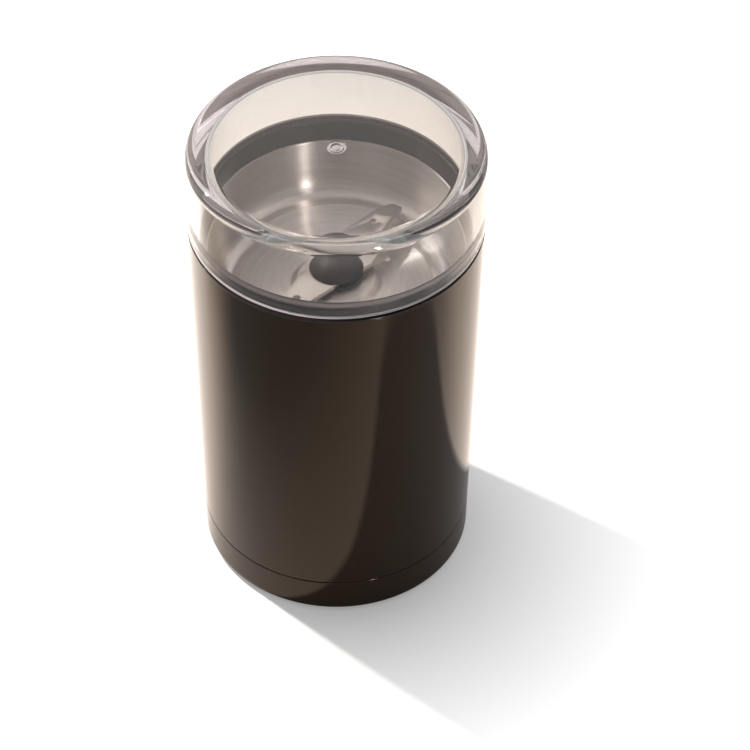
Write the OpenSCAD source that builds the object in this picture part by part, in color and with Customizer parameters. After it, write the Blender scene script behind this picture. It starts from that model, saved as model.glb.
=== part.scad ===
/* [Body] */
// Outer radius of the lid's lower edge and of the collar's flange
body_r = 45; // [43:0.1:50]
// How much the shell narrows from its top edge to the seam
shell_taper = 2.05; // [0:0.05:3]
// Height of the shell from the seam to the collar
shell_h = 115.6; // [113:0.1:125]
// Wall thickness of the shell
shell_wall = 2; // [1.6:0.1:2.2]

/* [Base cover] */
// Height of the base ring from its underside to the seam
base_h = 12.85; // [12.6:0.05:15]
// Radius of the bottom edge rounding
base_edge_r = 2.2; // [1:0.1:3]
// Thickness of the base floor
base_floor_t = 2.6; // [2.2:0.1:3]
// Wall thickness of the base ring
base_wall = 2.4; // [2:0.1:2.8]
// Height of the spigot that stands up inside the shell
spigot_h = 3; // [2:0.1:5]
// Open seam between the base ring and the shell
seam_gap = 0.15; // [0.1:0.05:0.4]
// Width of the cooling slots in the base
vent_w = 1.8; // [1.2:0.1:2.2]
// Length of a cooling slot
vent_len = 9; // [6:0.5:10]
// Number of cooling slots in the round grille
vent_count = 18; // [10:1:20]

/* [Feet] */
// Radius of a rubber foot
foot_r = 5; // [3.5:0.1:5.4]
// Height by which a foot stands proud of the base
foot_proud = 0.6; // [0.4:0.1:1.5]
// Depth of the recess that holds a foot
foot_recess = 1.2; // [0.8:0.1:1.5]

/* [Lid] */
// Height of the lid
lid_h = 27.35; // [25:0.05:34]
// Draft of the lid's outer wall over its height
lid_draft = 0.2; // [0:0.05:0.6]
// Radius of the lid's outer top rounding
lid_edge_r = 3; // [1.5:0.1:4]
// Thickness of the lid's top panel
lid_top_t = 4; // [2.5:0.1:5]
// Thickness of the lid's wall at the top panel
lid_wall_top_t = 5.8; // [5.5:0.1:8]
// Thickness of the lid's wall at the shelf over the collar
lid_wall_t = 5.3; // [4.8:0.1:5.5]
// Radius of the rounding between the lid's wall and its top panel, inside
lid_inner_edge_r = 2; // [1:0.1:3]
// Wall thickness of the skirt that passes outside the collar's lip
lid_skirt_t = 2.2; // [1.8:0.1:2.3]
// Distance that the lid is pushed down to start the motor
push_travel = 0.8; // [0.5:0.1:1.2]
// Width of a lid tab along the arc, in degrees
tab_angle = 16.8; // [12:0.2:20]
// Radial thickness of a lid tab
tab_t = 2; // [1.5:0.1:2]
// Radius of the moulding mark in the middle of the lid
gate_r = 2.7; // [2:0.1:3.5]

/* [Collar] */
// Thickness of the collar's flange between the shell and the lid
flange_t = 0.8; // [0.6:0.1:1.5]
// Height of the lip above the flange
lip_h = 3.4; // [2.5:0.1:5]
// Distance of the lip's inner top edge from the flange's outer edge
lip_in = 6; // [5.7:0.1:6.3]
// Depth of the bowl's rim below the flange
rim_depth = 3.4; // [2.6:0.1:4]
// Width of a snap hook, in degrees
hook_angle = 12; // [8:1:16]

/* [Bowl] */
// Distance of the bowl's rim from the flange's outer edge
bowl_in = 7.4; // [7.2:0.1:8]
// How much the bowl narrows from its rim to the floor's rounding
bowl_taper = 0.8; // [0.4:0.1:3]
// Depth of the bowl from its rim to its floor
bowl_depth = 18.6; // [17:0.1:20]
// Thickness of the bowl's steel
bowl_t = 0.6; // [0.4:0.05:0.8]
// Radius of the rounding between the bowl's wall and floor
bowl_round_r = 6.5; // [4:0.1:8]
// Radius of the flat top of the bowl's boss
boss_r = 11.3; // [10.6:0.1:12]
// Height of the bowl's boss above the floor
boss_h = 2.5; // [1.6:0.1:3]
// Radius of the hole in the bowl's boss
bowl_hole_r = 5; // [4.6:0.1:5.6]
// Width of the bowl's turned out rim
rim_w = 1.7; // [1.5:0.05:1.75]
// Thickness of the gasket under the bowl's rim
gasket_t = 1.2; // [0.8:0.1:1.6]

/* [Blade and hub] */
// Gap between the blade's tips and the bowl's wall
blade_gap = 6.6; // [6:0.1:9]
// Thickness of the blade
blade_t = 1.5; // [1:0.1:1.8]
// Width of the blade at the hub
blade_root_w = 11.6; // [10:0.1:13]
// Width of the blade where its cutting edge changes direction
blade_waist_w = 7; // [6:0.1:8]
// Width of the blade at its tips
blade_tip_w = 4.4; // [3.5:0.1:5.5]
// Distance by which the blade's root is set over to the side of the cutting edge
blade_offset = 1; // [0:0.1:1.2]
// Distance from the tip to the line where the blade's wing turns down
blade_bend_in = 7.7; // [6:0.1:8.5]
// Angle by which the wing's end turns down
blade_bend = 12; // [1:1:20]
// Angle by which the line of the bend is skewed
blade_bend_skew = 20; // [0:1:20]
// Angle of the blade at rest
blade_angle = 51.3; // [0:0.1:180]
// Radius of the small hole in each wing
blade_hole_r = 1.25; // [0.8:0.05:1.6]
// Distance from the tip to the small hole in each wing
blade_hole_in = 11.9; // [11:0.1:13]
// Radius of the hub
hub_r = 8.1; // [7.8:0.1:9.5]
// Height of the hub's dome above the blade
hub_h = 4.8; // [4.6:0.1:7]
// Thickness of the carrier under the blade
carrier_t = 1.5; // [1.3:0.1:3]
// Running gap between the hub and the bowl's boss
hub_gap = 0.7; // [0.6:0.05:1.5]

/* [Chassis] */
// Wall thickness of the chassis
chassis_wall = 2; // [1.6:0.1:2.4]
// Thickness of the deck that carries the motor
deck_t = 2.5; // [2:0.1:4]
// Free height between the bowl's floor and the deck
bowl_air = 3.4; // [3:0.1:5]
// Height of the ring that carries the bowl
ring_h = 7.8; // [6:0.1:9]
// Radius of a post
post_r = 3.5; // [3:0.1:3.8]
// Angle of a post from the front and back line
post_angle = 25; // [22:1:28]
// Radius of a push rod
rod_r = 1; // [0.8:0.05:1.1]

/* [Motor] */
// Space between the stator's corners and the chassis's outer radius
motor_space = 6.55; // [6:0.05:9]
// How much wider the stator is from pole to pole than from front to back
pole_extra = 8; // [6:0.5:9]
// Thickness of the stator's yoke
yoke_t = 5; // [4:0.1:6]
// Height of the stack of laminations
stack_h = 24; // [20:0.5:28]
// Space between the armature and the stator's yoke
armature_space = 4.1; // [3.8:0.1:5]
// Air gap between the armature and the stator
air_gap = 0.6; // [0.4:0.1:0.9]
// Number of armature slots and commutator bars
slot_count = 12; // [8:1:14]
// Radius of the motor shaft
shaft_r = 3; // [2.5:0.1:3.4]
// Radius of the shaft's lower journal and top thread
journal_r = 2.5; // [2:0.1:2.6]
// Radial running clearance of the shaft in its bearings
bearing_clear = 0.05; // [0.02:0.01:0.1]
// Outer radius of the bearings
bearing_r = 5.5; // [5:0.1:6]
// Height of the bearings
bearing_h = 8; // [6:0.5:9]
// How much smaller the commutator is than the armature, on the radius
commutator_in = 4.9; // [4.2:0.1:5.5]
// Height of the commutator
commutator_h = 9; // [8:0.5:10]
// Space between the cooling fan and the towers
fan_space = 7.4; // [6.5:0.1:12]
// Height of the cooling fan
fan_h = 9; // [6:0.5:9.5]
// Number of fan blades
fan_count = 10; // [6:1:14]
// Height of the windings beyond the stack
winding_h = 7.5; // [5:0.5:8]
// Distance from the stack up to the upper bridge's plate
upper_leg_h = 10; // [9:0.5:13]
// Distance from the stack down to the lower bridge's plate
lower_leg_h = 27; // [26:0.5:29]
// Thickness of the upper bridge's plate
upper_plate_t = 3; // [2:0.1:3]
// Thickness of the lower bridge's plate
lower_plate_t = 4; // [3:0.1:5]
// Distance of the rubber mounts from the stator's front and back
mount_out = 5.5; // [5.2:0.1:6]

/* [Brushes] */
// Width of a carbon brush
brush_w = 5; // [4:0.1:6]
// Height of a carbon brush
brush_h = 6; // [5:0.1:7]
// Length of a carbon brush
brush_len = 9.5; // [8:0.1:10]
// Wall thickness of a brush tube
brush_tube_t = 0.7; // [0.5:0.1:1]
// Clearance of a carbon brush in its tube
brush_clear = 0.15; // [0.1:0.05:0.3]
// Length of a brush spring
brush_spring_len = 7.5; // [6:0.1:9]

/* [Switch] */
// Width of the switch body from back to front
switch_w = 20; // [18:0.5:20]
// Thickness of the switch body
switch_t = 6.4; // [6:0.1:6.8]
// Height of the switch body
switch_h = 10; // [9:0.1:12]
// Radius of the switch's plunger
plunger_r = 1.2; // [1:0.1:1.5]
// Depth of the switch's top below the deck
switch_drop = 11.5; // [10.5:0.5:14]
// Pitch of the switch's two mounting screws
switch_pitch = 9.5; // [9:0.1:10]

/* [Cord entry] */
// Radius of the gland's bore for the supply cord
gland_bore_r = 3.2; // [2.5:0.1:3.4]
// Thickness of the gland's neck
gland_neck_t = 1.1; // [0.9:0.1:1.3]
// How far the gland's flanges stand out from its neck
gland_flange_out = 0.9; // [0.8:0.1:1]

/* [Hidden] */
$fn = 96;
cut = 0.5;           // how far a cutting shape runs past the face that it cuts
seat_clear = 0.1;    // gap between fixed pieces that fit into each other
wall_clear = 0.3;    // gap between the shell and what stands inside it
slide_clear = 0.08;  // radial running clearance of a rod in its guide
touch_gap = 0.2;     // gap between a moving piece and the piece that it pushes

// Heights, from the floor up
base_z = foot_proud;
base_floor_z = base_z + base_floor_t;
seam_z = base_z + base_h;
shell_z = seam_z + seam_gap;
shell_top_z = shell_z + shell_h;
flange_z = shell_top_z + flange_t;
lid_z = flange_z + push_travel + 0.05;
lid_top_z = lid_z + lid_h;
lip_z = flange_z + lip_h;
rim_z = flange_z - rim_depth;
seat_z = rim_z - bowl_t - gasket_t;
bowl_floor_z = rim_z - bowl_depth;
boss_z = bowl_floor_z + boss_h;
deck_z = bowl_floor_z - bowl_t - bowl_air;
deck_under_z = deck_z - deck_t;
ring_z = seat_z - ring_h;

// Radii of the housing, all from the body's radius
shell_step = 0.2;
shell_top_r = body_r - shell_step;
shell_bottom_r = shell_top_r - shell_taper;
function shell_outer(z) = shell_bottom_r + (shell_top_r - shell_bottom_r) * (z - shell_z) / shell_h;
function shell_inner(z) = shell_outer(z) - shell_wall;
chassis_r = shell_inner(deck_under_z) - wall_clear;
chassis_inner_r = chassis_r - chassis_wall;
neck_r = shell_inner(shell_top_z) - wall_clear;
spigot_r = shell_inner(shell_z) - 2 * seat_clear;
spigot_t = 2;
base_r = shell_bottom_r - 0.15;
base_inner_r = base_r - base_wall;
bowl_rim_r = body_r - bowl_in;
bowl_low_r = bowl_rim_r - bowl_taper;
rim_outer_r = bowl_rim_r + rim_w;
bowl_back_r = bowl_rim_r + bowl_t + 0.2;
collar_inner_r = bowl_rim_r + 0.4;
lip_inner_r = body_r - lip_in;

// Lid tabs, the collar's slots and the rods' heads
lid_inner_top_r = body_r - lid_draft - lid_wall_top_t;
lid_inner_low_r = body_r - lid_wall_t;
lid_rebate_r = body_r - lid_skirt_t;
edge_chamfer = 0.4;
lip_outer_r = lid_rebate_r - 0.4;
shelf_z = lip_z + push_travel + 0.3;
tab_r = lid_inner_low_r + 0.5;
tab_side_clear = 0.5;    // in degrees, on each side of a tab
tab_clear = 0.25;
head_r = rim_outer_r + 0.4;
head_angle = tab_angle - 1;
head_z = seat_z - 0.4;
head_h = 2.6;
head_under_z = head_z - head_h;
tab_sides = [0, 180];
rod_place_r = chassis_r - 0.6 - rod_r;
rod_spring_r = rod_r + 0.55;
rod_spring_wire_r = 0.25;
rod_spring_bore_r = rod_spring_r + rod_spring_wire_r + 0.3;
rod_spring_rise = 9;
rod_spring_seat_z = deck_z + rod_spring_rise;
rod_spring_turns = 7;
rod_clip_t = 0.8;
rod_clip_r = rod_r + 0.75;
rod_groove_r = rod_r - 0.3;
rod_clip_top_z = deck_under_z - touch_gap - 0.05;
rod_left_end_z = rod_clip_top_z - rod_clip_t - 1.5;

// Snap hooks of the collar
hook_r = rim_outer_r + 0.35;
hook_t = 1.2;
hook_barb = 0.9;
hook_barb_z = ring_z + 1.3;
hook_end_z = ring_z - 1.5;

// Switch and its finger
switch_place = rod_place_r - 5.2;
switch_top_z = deck_under_z - switch_drop;
plunger_rise = 1.2;
plunger_len = 2.8;
plunger_bore_clear = 0.1;
finger_h = 3;
finger_w = 5;
finger_z = switch_top_z + plunger_rise + touch_gap;
finger_outer_r = rod_place_r + rod_r;
finger_inner_r = switch_place - plunger_r - 0.6;
rod_right_end_z = finger_z + 0.6;
bracket_t = 1.6;
bracket_x = switch_place - switch_t / 2 - seat_clear - bracket_t;
bracket_foot = 9.5;
bracket_screw_x = bracket_x - 4.2;
bracket_screw_y = 6;
bracket_boss_r = 2.8;
bracket_boss_h = 2.8;
small_screw_r = 1.1;
small_head_r = 1.9;
small_head_t = 1.2;
switch_screw_z = switch_top_z - 7;
terminal_len = 7;
terminal_t = 0.8;
terminal_w = 3;
terminal_y = 6.5;

// Motor heights, hung from the deck
mount_boss_h = 4.5;
mount_z = deck_under_z - mount_boss_h;
grommet_top_t = 1.9;
grommet_low_t = 1.4;
upper_plate_z = mount_z - grommet_top_t - seat_clear;
upper_plate_under_z = upper_plate_z - upper_plate_t;
grommet_z = upper_plate_under_z - grommet_low_t - seat_clear;
stator_top_z = upper_plate_under_z - upper_leg_h;
stator_z = stator_top_z - stack_h;
lower_plate_z = stator_z - lower_leg_h;
lower_plate_under_z = lower_plate_z - lower_plate_t;
upper_bearing_z = upper_plate_under_z - 0.5;
upper_cup_z = upper_bearing_z - 0.5;
lower_bearing_z = lower_plate_under_z + 0.5;
winding_low_z = stator_z - winding_h;
commutator_top_z = winding_low_z - 1.5;
commutator_z = commutator_top_z - commutator_h;
brush_z = commutator_z + commutator_h / 2;
washer_t = 0.8;
washer_gap = 0.3;
washer_r = bearing_r - 1.2;
lower_washer_z = lower_bearing_z + bearing_h + washer_gap;
upper_washer_z = upper_bearing_z - washer_gap - washer_t;
journal_top_z = lower_washer_z + washer_t;
post_end_z = lower_plate_under_z - 3;
baffle_t = 1.2;
baffle_z = post_end_z - baffle_t;
fan_z = baffle_z - 1 - fan_h;
shaft_end_z = fan_z - 1.5;
tower_top_z = baffle_z;
tower_r = post_r + 1.1;
tower_cap_t = 8;
tower_seat_z = tower_top_z - tower_cap_t;
post_place_r = base_inner_r - tower_r - 0.6;

// Motor plan sizes: the stator's corners keep their space inside the chassis
stator_corner_r = chassis_r - motor_space;
stator_w = pole_extra / 2 + sqrt(2 * pow(stator_corner_r, 2) - pow(pole_extra / 2, 2));
stator_d = stator_w - pole_extra;
armature_r = stator_d / 2 - yoke_t - armature_space;
commutator_r = armature_r - commutator_in;
stator_bore_r = armature_r + air_gap;
pole_shoe_t = 2.5;
pole_shoe_r = stator_bore_r + pole_shoe_t;
pole_neck_w = pole_shoe_r - 1;
pole_gap_w = pole_neck_w - 4;
coil_clear = 0.3;
coil_side_w = 7;
coil_w = pole_neck_w + 2 * coil_side_w;
coil_inner_x = pole_shoe_r + 0.6;
coil_outer_x = stator_w / 2 - yoke_t - coil_clear;
coil_over = winding_h - 1;
coil_corner_r = 5;
bridge_w = 18;
leg_w = 14;
leg_in = 4.5;
motor_screw_r = 1.8;
motor_screw_head_r = 3;
motor_screw_head_t = 2.2;
motor_screw_y = stator_d / 2 - yoke_t / 2;
mount_place = stator_d / 2 + mount_out;
mount_ear_r = 5.6;
grommet_neck_r = 3.3;
grommet_flange_r = 5;
mount_screw_r = 1.8;
mount_screw_head_r = 3.6;
mount_screw_head_t = 1.8;
mount_screw_grip = 6;
bearing_cup_t = 2.5;
slot_place_r = armature_r - 3;
slot_r = 2;
core_slot_w = 1.6;
commutator_slot_w = 0.6;
commutator_hub_r = (commutator_r + shaft_r) / 2 - 1;
fan_r = post_place_r - tower_r - fan_space;
fan_hub_r = journal_r + 3;
fan_blade_t = 1.2;
baffle_hole_r = fan_r - 6;

// Hub and blade
carrier_z = boss_z + hub_gap;
blade_z = carrier_z + carrier_t;
blade_top_z = blade_z + blade_t;
hub_top_z = blade_top_z + hub_h;
blade_r = bowl_low_r - blade_gap;
blade_bend_r = blade_r - blade_bend_in;
blade_hole_place_r = blade_r - blade_hole_in;
thread_z = carrier_z + 1;
thread_bore_r = journal_r + seat_clear;
hub_skirt = 0.5;
nut_h = 2.3;
thread_top_z = blade_top_z + nut_h + 0.2;
nut_r = journal_r + 2.1;
seal_r = 7;
seal_h = 5.4;
seal_neck_r = bowl_hole_r - 0.2;
seal_top_z = carrier_z - 0.4;
boss_tube_r = 9;
boss_tube_z = boss_z - bowl_t - 0.2;

// Brush tubes
brush_start = commutator_r + 0.1;
tube_start = commutator_r + 1.6;
spring_start = brush_start + brush_len;
tube_end = spring_start + brush_spring_len;
cap_t = 1.5;
brush_spring_r = 2;
brush_spring_wire_r = 0.25;
brush_spring_turns = 5;
holder_wall = 2;
holder_len = 9;

// Base details
post_places = [90 - post_angle, 90 + post_angle, 270 - post_angle, 270 + post_angle];
foot_places = [45, 135, 225, 315];
hook_places = [45, 135, 225, 315];
foot_place_r = base_inner_r - foot_r - 4.2;
vent_place_r = fan_r - vent_len;
side_vent_place_r = base_inner_r - vent_len / 2 - 4.2;
side_vent_pitch = 6;     // in degrees
base_screw_r = 1.6;
base_screw_head_r = 3.2;
base_screw_head_t = 2;
base_screw_grip = 10;
gland_z = base_z + base_h / 2 + 0.2;
gland_neck_r = gland_bore_r + gland_neck_t;
gland_flange_r = gland_neck_r + gland_flange_out;
gland_wall_y = base_r - 0.7;
gland_flange_t = 1.4;
gland_inner_y = base_inner_r - 0.8;
gland_pad_w = 14;
block_w = 18;
block_d = 8.5;
block_h = 9;
block_y = base_inner_r - 14.7;
rib_t = 1.6;
rib_h = 5;
block_screws = [-6, 0, 6];
block_screw_r = 1.2;
block_screw_h = 5.2;
block_screw_y = block_y + 2.6;
capacitor_w = 15;
capacitor_d = 7.5;
capacitor_h = 11;
capacitor_place_r = base_inner_r - 8.2;
capacitor_angle = 150;
lead_hole_r = 4;
lead_hole_y = base_inner_r - 7.2;
lead_r = 0.9;
lead_sides = 8;

// Routes of the internal leads; each starts and ends straight at its terminal
block_top_z = base_floor_z + block_h;
block_lead_y = block_y + 4.5;
terminal_z = switch_top_z - switch_h - terminal_len;
coil_low_z = stator_z - coil_over;
coil_end = [(coil_inner_x + coil_outer_x) / 2, pole_neck_w / 2 + 1];
lead_x = 2.2;
front_lane = stator_d / 2 + 2.6;        // where a lead passes the stator's front or back
corner_lane = stator_corner_r + 2.3;    // where a lead passes the stator's corner
side_lane = stator_w / 2 + 5;           // where a lead passes the stator's side
leg_lane = stator_d / 2 + 8;            // where a lead runs up behind the lower bridge
corner_angle = 38;
function rise_from_block(side) = [
    [side * 6, block_lead_y, block_top_z], [side * 6, block_lead_y, block_top_z + 1.5],
    [side * 5, block_lead_y + 1, block_top_z + 4], [side * lead_x, lead_hole_y, block_top_z + 8],
    [side * lead_x, lead_hole_y, baffle_z], [side * lead_x, lead_hole_y, baffle_z + 8]];
live_route = concat(rise_from_block(1), [
    [3, leg_lane, lower_plate_z + 12], [9, front_lane + 1, stator_z - 6],
    [stator_w / 2 - 7, front_lane, stator_z + 2],
    [corner_lane * cos(corner_angle), corner_lane * sin(corner_angle), stator_z + 6],
    [switch_place - 1.2, 15, terminal_z - 6], [switch_place, terminal_y + 1.5, terminal_z - 3.5],
    [switch_place, terminal_y, terminal_z - 1.5], [switch_place, terminal_y, terminal_z]]);
neutral_route = concat(rise_from_block(-1), [
    [-3, leg_lane - 1, lower_plate_z + 8], [-10, stator_d / 2 + 2, coil_low_z - 8],
    [-coil_end[0] + 2.6, coil_end[1] + 7, coil_low_z - 5],
    [-coil_end[0], coil_end[1], coil_low_z - 1.5], [-coil_end[0], coil_end[1], coil_low_z]]);
switched_route = [
    [switch_place, -terminal_y, terminal_z], [switch_place, -terminal_y, terminal_z - 1.5],
    [switch_place, -terminal_y - 1.5, terminal_z - 6], [side_lane, -11, stator_z],
    [side_lane - 5, -12.5, coil_low_z - 1], [coil_end[0] + 2.4, -coil_end[1] - 2, coil_low_z - 3.5],
    [coil_end[0], -coil_end[1], coil_low_z - 1.5], [coil_end[0], -coil_end[1], coil_low_z]];
brush_route = [
    [coil_end[0], coil_end[1], coil_low_z], [coil_end[0], coil_end[1], coil_low_z - 1.5],
    [coil_end[0] + 2.4, coil_end[1] + 0.5, coil_low_z - 3.5], [tube_end + 2, 8, brush_z + 2],
    [tube_end + 5.4, 4, brush_z + 0.5], [tube_end + 4.9, 0.5, brush_z],
    [tube_end + cap_t + 1.5, 0, brush_z], [tube_end + cap_t, 0, brush_z]];

// ---- Helpers ----

// Points along an arc from one angle to another
function arc(centre, r, from, to, steps = 8) =
    [for (i = [0:steps]) let (a = from + (to - from) * i / steps) centre + r * [cos(a), sin(a)]];
function reversed(list) = [for (i = [len(list) - 1:-1:0]) list[i]];
function unit(v) = v / norm(v);
function tangent(path, i) = unit(path[min(i + 1, len(path) - 1)] - path[max(i - 1, 0)]);
function side_of(t) = unit(cross(t, abs(t[2]) < 0.7 ? [0, 0, 1] : [0, 1, 0]));
// Side vectors carried along a path so that a swept tube doesn't twist
function carried(path, i) =
    i == 0 ? [side_of(tangent(path, 0))]
    : let (before = carried(path, i - 1), t = tangent(path, i), s = before[i - 1])
        concat(before, [unit(s - (s * t) * t)]);
function bend_point(a, b, c, d, t) =
    0.5 * (2 * b + (c - a) * t + (2 * a - 5 * b + 4 * c - d) * t * t
        + (3 * b - a - 3 * c + d) * t * t * t);
// A smooth path through hand-set points, with its first and last piece kept straight
function smooth(p, steps = 3) = concat(
    [p[0]],
    [for (i = [1:len(p) - 3], k = [0:steps - 1])
        bend_point(p[i - 1], p[i], p[i + 1], p[i + 2], k / steps)],
    [p[len(p) - 2], p[len(p) - 1]]);

// A round tube swept along a path, closed at both ends
module swept(path, r, sides = 8) {
    last = len(path) - 1;
    across = carried(path, last);
    points = [for (i = [0:last], k = [0:sides - 1])
        let (t = tangent(path, i), s = across[i], a = 360 * k / sides)
            path[i] + r * (cos(a) * s + sin(a) * cross(t, s))];
    walls = [for (i = [0:last - 1], k = [0:sides - 1], half = [0, 1])
        let (n = (k + 1) % sides, a = i * sides, b = a + sides)
            half == 0 ? [a + k, b + k, b + n] : [a + k, b + n, a + n]];
    first_end = [for (k = [0:sides - 1]) k];
    last_end = [for (k = [sides - 1:-1:0]) last * sides + k];
    polyhedron(points, concat(walls, [first_end, last_end]));
}

// A coil spring along +Z from the origin
module coil_spring(r, wire_r, length, turns, steps = 12) {
    rise = length - 2 * wire_r;
    swept([for (i = [0:turns * steps])
        [r * cos(360 * i / steps), r * sin(360 * i / steps), wire_r + rise * i / (turns * steps)]],
        wire_r, 6);
}

module ring(r_out, r_in, z_low, z_high) {
    translate([0, 0, z_low]) difference() {
        cylinder(r = r_out, h = z_high - z_low);
        translate([0, 0, -cut]) cylinder(r = r_in, h = z_high - z_low + 2 * cut);
    }
}

// A piece of a ring, centred on the +X direction
module sector(r_in, r_out, angle, z_low, z_high) {
    rotate([0, 0, -angle / 2]) rotate_extrude(angle = angle)
        translate([r_in, z_low]) square([r_out - r_in, z_high - z_low]);
}

module at(angle, r = 0) {
    rotate([0, 0, angle]) translate([r, 0, 0]) children();
}

module box(size, z_low) {
    translate([-size[0] / 2, -size[1] / 2, z_low]) cube(size);
}

// A pan-head screw that points up from z, the underside of its head, with a cross recess
module screw(r, head_r, head_t, length, z) {
    recess_w = r * 0.6;
    difference() {
        union() {
            translate([0, 0, z]) cylinder(r = r, h = length);
            translate([0, 0, z - head_t]) cylinder(r = head_r, h = head_t);
        }
        for (a = [0, 90]) rotate([0, 0, a])
            box([head_r * 1.3, recess_w, head_t * 0.6 + cut], z - head_t - cut);
    }
}

// ---- Lid, collar and bowl ----

module lid_section() {
    lid_top_r = body_r - lid_draft;
    polygon(concat(
        [[0, lid_top_z - lid_top_t], [0, lid_top_z]],
        arc([lid_top_r - lid_edge_r, lid_top_z - lid_edge_r], lid_edge_r, 90, 0),
        [[body_r, lid_z + edge_chamfer], [body_r - edge_chamfer, lid_z], [lid_rebate_r, lid_z],
            [lid_rebate_r, shelf_z], [lid_inner_low_r, shelf_z]],
        arc([lid_inner_top_r - lid_inner_edge_r, lid_top_z - lid_top_t - lid_inner_edge_r],
            lid_inner_edge_r, 0, 90, 4)));
}

module lid() {
    color([0.88, 0.87, 0.88, 0.4]) {
        difference() {
            rotate_extrude() lid_section();
            ring(gate_r, gate_r - 0.7, lid_top_z - 0.4, lid_top_z + cut);
        }
        for (side = tab_sides) rotate([0, 0, side])
            sector(tab_r, tab_r + tab_t, tab_angle, head_z, shelf_z + 0.2);
    }
}

module collar_section() {
    flange_chamfer = flange_t / 4;
    polygon([
        [collar_inner_r, rim_z], [rim_outer_r + seat_clear, rim_z], [rim_outer_r + seat_clear, seat_z],
        [neck_r, seat_z], [neck_r, shell_top_z], [body_r - flange_chamfer, shell_top_z],
        [body_r, shell_top_z + flange_chamfer], [body_r, flange_z - flange_chamfer],
        [body_r - flange_chamfer, flange_z], [lip_outer_r, flange_z],
        [lip_outer_r, lip_z - edge_chamfer], [lip_outer_r - edge_chamfer, lip_z],
        [lip_inner_r + edge_chamfer, lip_z], [lip_inner_r, lip_z - edge_chamfer]]);
}

// A snap hook's outline, standing on the collar's neck
module hook_section() {
    polygon([
        [hook_r, seat_z + 0.5], [hook_r, hook_end_z], [hook_r + hook_t - 0.2, hook_end_z],
        [hook_r + hook_t + hook_barb, hook_barb_z - 1.4], [hook_r + hook_t + hook_barb, hook_barb_z],
        [hook_r + hook_t, hook_barb_z], [hook_r + hook_t, seat_z + 0.5]]);
}

module collar() {
    color([0.17, 0.16, 0.17]) {
        difference() {
            rotate_extrude() collar_section();
            for (side = tab_sides) rotate([0, 0, side])
                sector(tab_r - tab_clear, neck_r + cut, tab_angle + 2 * tab_side_clear,
                    seat_z - cut, lip_z + cut);
        }
        for (place = hook_places) rotate([0, 0, place - hook_angle / 2])
            rotate_extrude(angle = hook_angle) hook_section();
    }
}

// The bowl's upper face, moved down and out by t, from the rim to the hole
function bowl_face(t) = concat(
    [[rim_outer_r, rim_z - t], [bowl_rim_r + t, rim_z - t]],
    arc([bowl_low_r - bowl_round_r, bowl_floor_z + bowl_round_r], bowl_round_r + t, 0, -90),
    arc([boss_r + boss_h, bowl_floor_z + boss_h / 2], boss_h / 2 + t, -90, -180, 5),
    arc([boss_r, bowl_floor_z + boss_h / 2], boss_h / 2 - t, 0, 90, 5),
    [[bowl_hole_r, boss_z - t]]);

module bowl() {
    color([0.75, 0.74, 0.72]) rotate_extrude()
        polygon(concat(bowl_face(0), reversed(bowl_face(bowl_t))));
}

module bowl_gasket() {
    color([0.1, 0.1, 0.1]) ring(rim_outer_r, bowl_back_r, seat_z, rim_z - bowl_t);
}

module shaft_seal() {
    color([0.12, 0.12, 0.12]) difference() {
        union() {
            translate([0, 0, deck_z]) cylinder(r = seal_r, h = seal_h);
            translate([0, 0, deck_z]) cylinder(r = seal_neck_r, h = seal_top_z - deck_z);
        }
        translate([0, 0, deck_z - cut])
            cylinder(r = shaft_r + bearing_clear, h = seal_top_z - deck_z + 2 * cut);
    }
}

// ---- Housing ----

module body_shell() {
    color([0.13, 0.11, 0.09]) rotate_extrude() polygon([
        [shell_bottom_r - shell_wall, shell_z], [shell_bottom_r, shell_z],
        [shell_top_r, shell_top_z], [shell_top_r - shell_wall, shell_top_z]]);
}

module vent() {
    box([vent_len, vent_w, base_floor_t + 2 * cut], base_z - cut);
}

module base_section() {
    polygon(concat(
        [[0, base_z]],
        arc([base_r - base_edge_r, base_z + base_edge_r], base_edge_r, -90, 0),
        [[shell_bottom_r, seam_z], [spigot_r, seam_z], [spigot_r, seam_z + spigot_h - edge_chamfer],
            [spigot_r - edge_chamfer, seam_z + spigot_h], [spigot_r - spigot_t, seam_z + spigot_h],
            [spigot_r - spigot_t, seam_z - spigot_t],
            [base_inner_r, seam_z - spigot_t - (base_inner_r - spigot_r + spigot_t)],
            [base_inner_r, base_floor_z], [0, base_floor_z]]));
}

module tower_bores() {
    translate([0, 0, base_z - cut])
        cylinder(r = base_screw_head_r + wall_clear, h = tower_seat_z - base_z + cut);
    translate([0, 0, base_z]) cylinder(r = base_screw_r + 0.15, h = tower_top_z - base_z + cut);
}

module gland_bores() {
    inner_cut = gland_flange_t + 2 * seat_clear;
    translate([0, 0, gland_z]) rotate([-90, 0, 0]) {
        translate([0, 0, gland_inner_y - inner_cut])
            cylinder(r = gland_neck_r + seat_clear, h = gland_wall_y - gland_inner_y + 2 * inner_cut);
        translate([0, 0, gland_inner_y - inner_cut])
            cylinder(r = gland_flange_r + seat_clear, h = inner_cut);
        translate([0, 0, gland_wall_y]) cylinder(r = gland_flange_r + seat_clear, h = base_wall + cut);
    }
}

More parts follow.
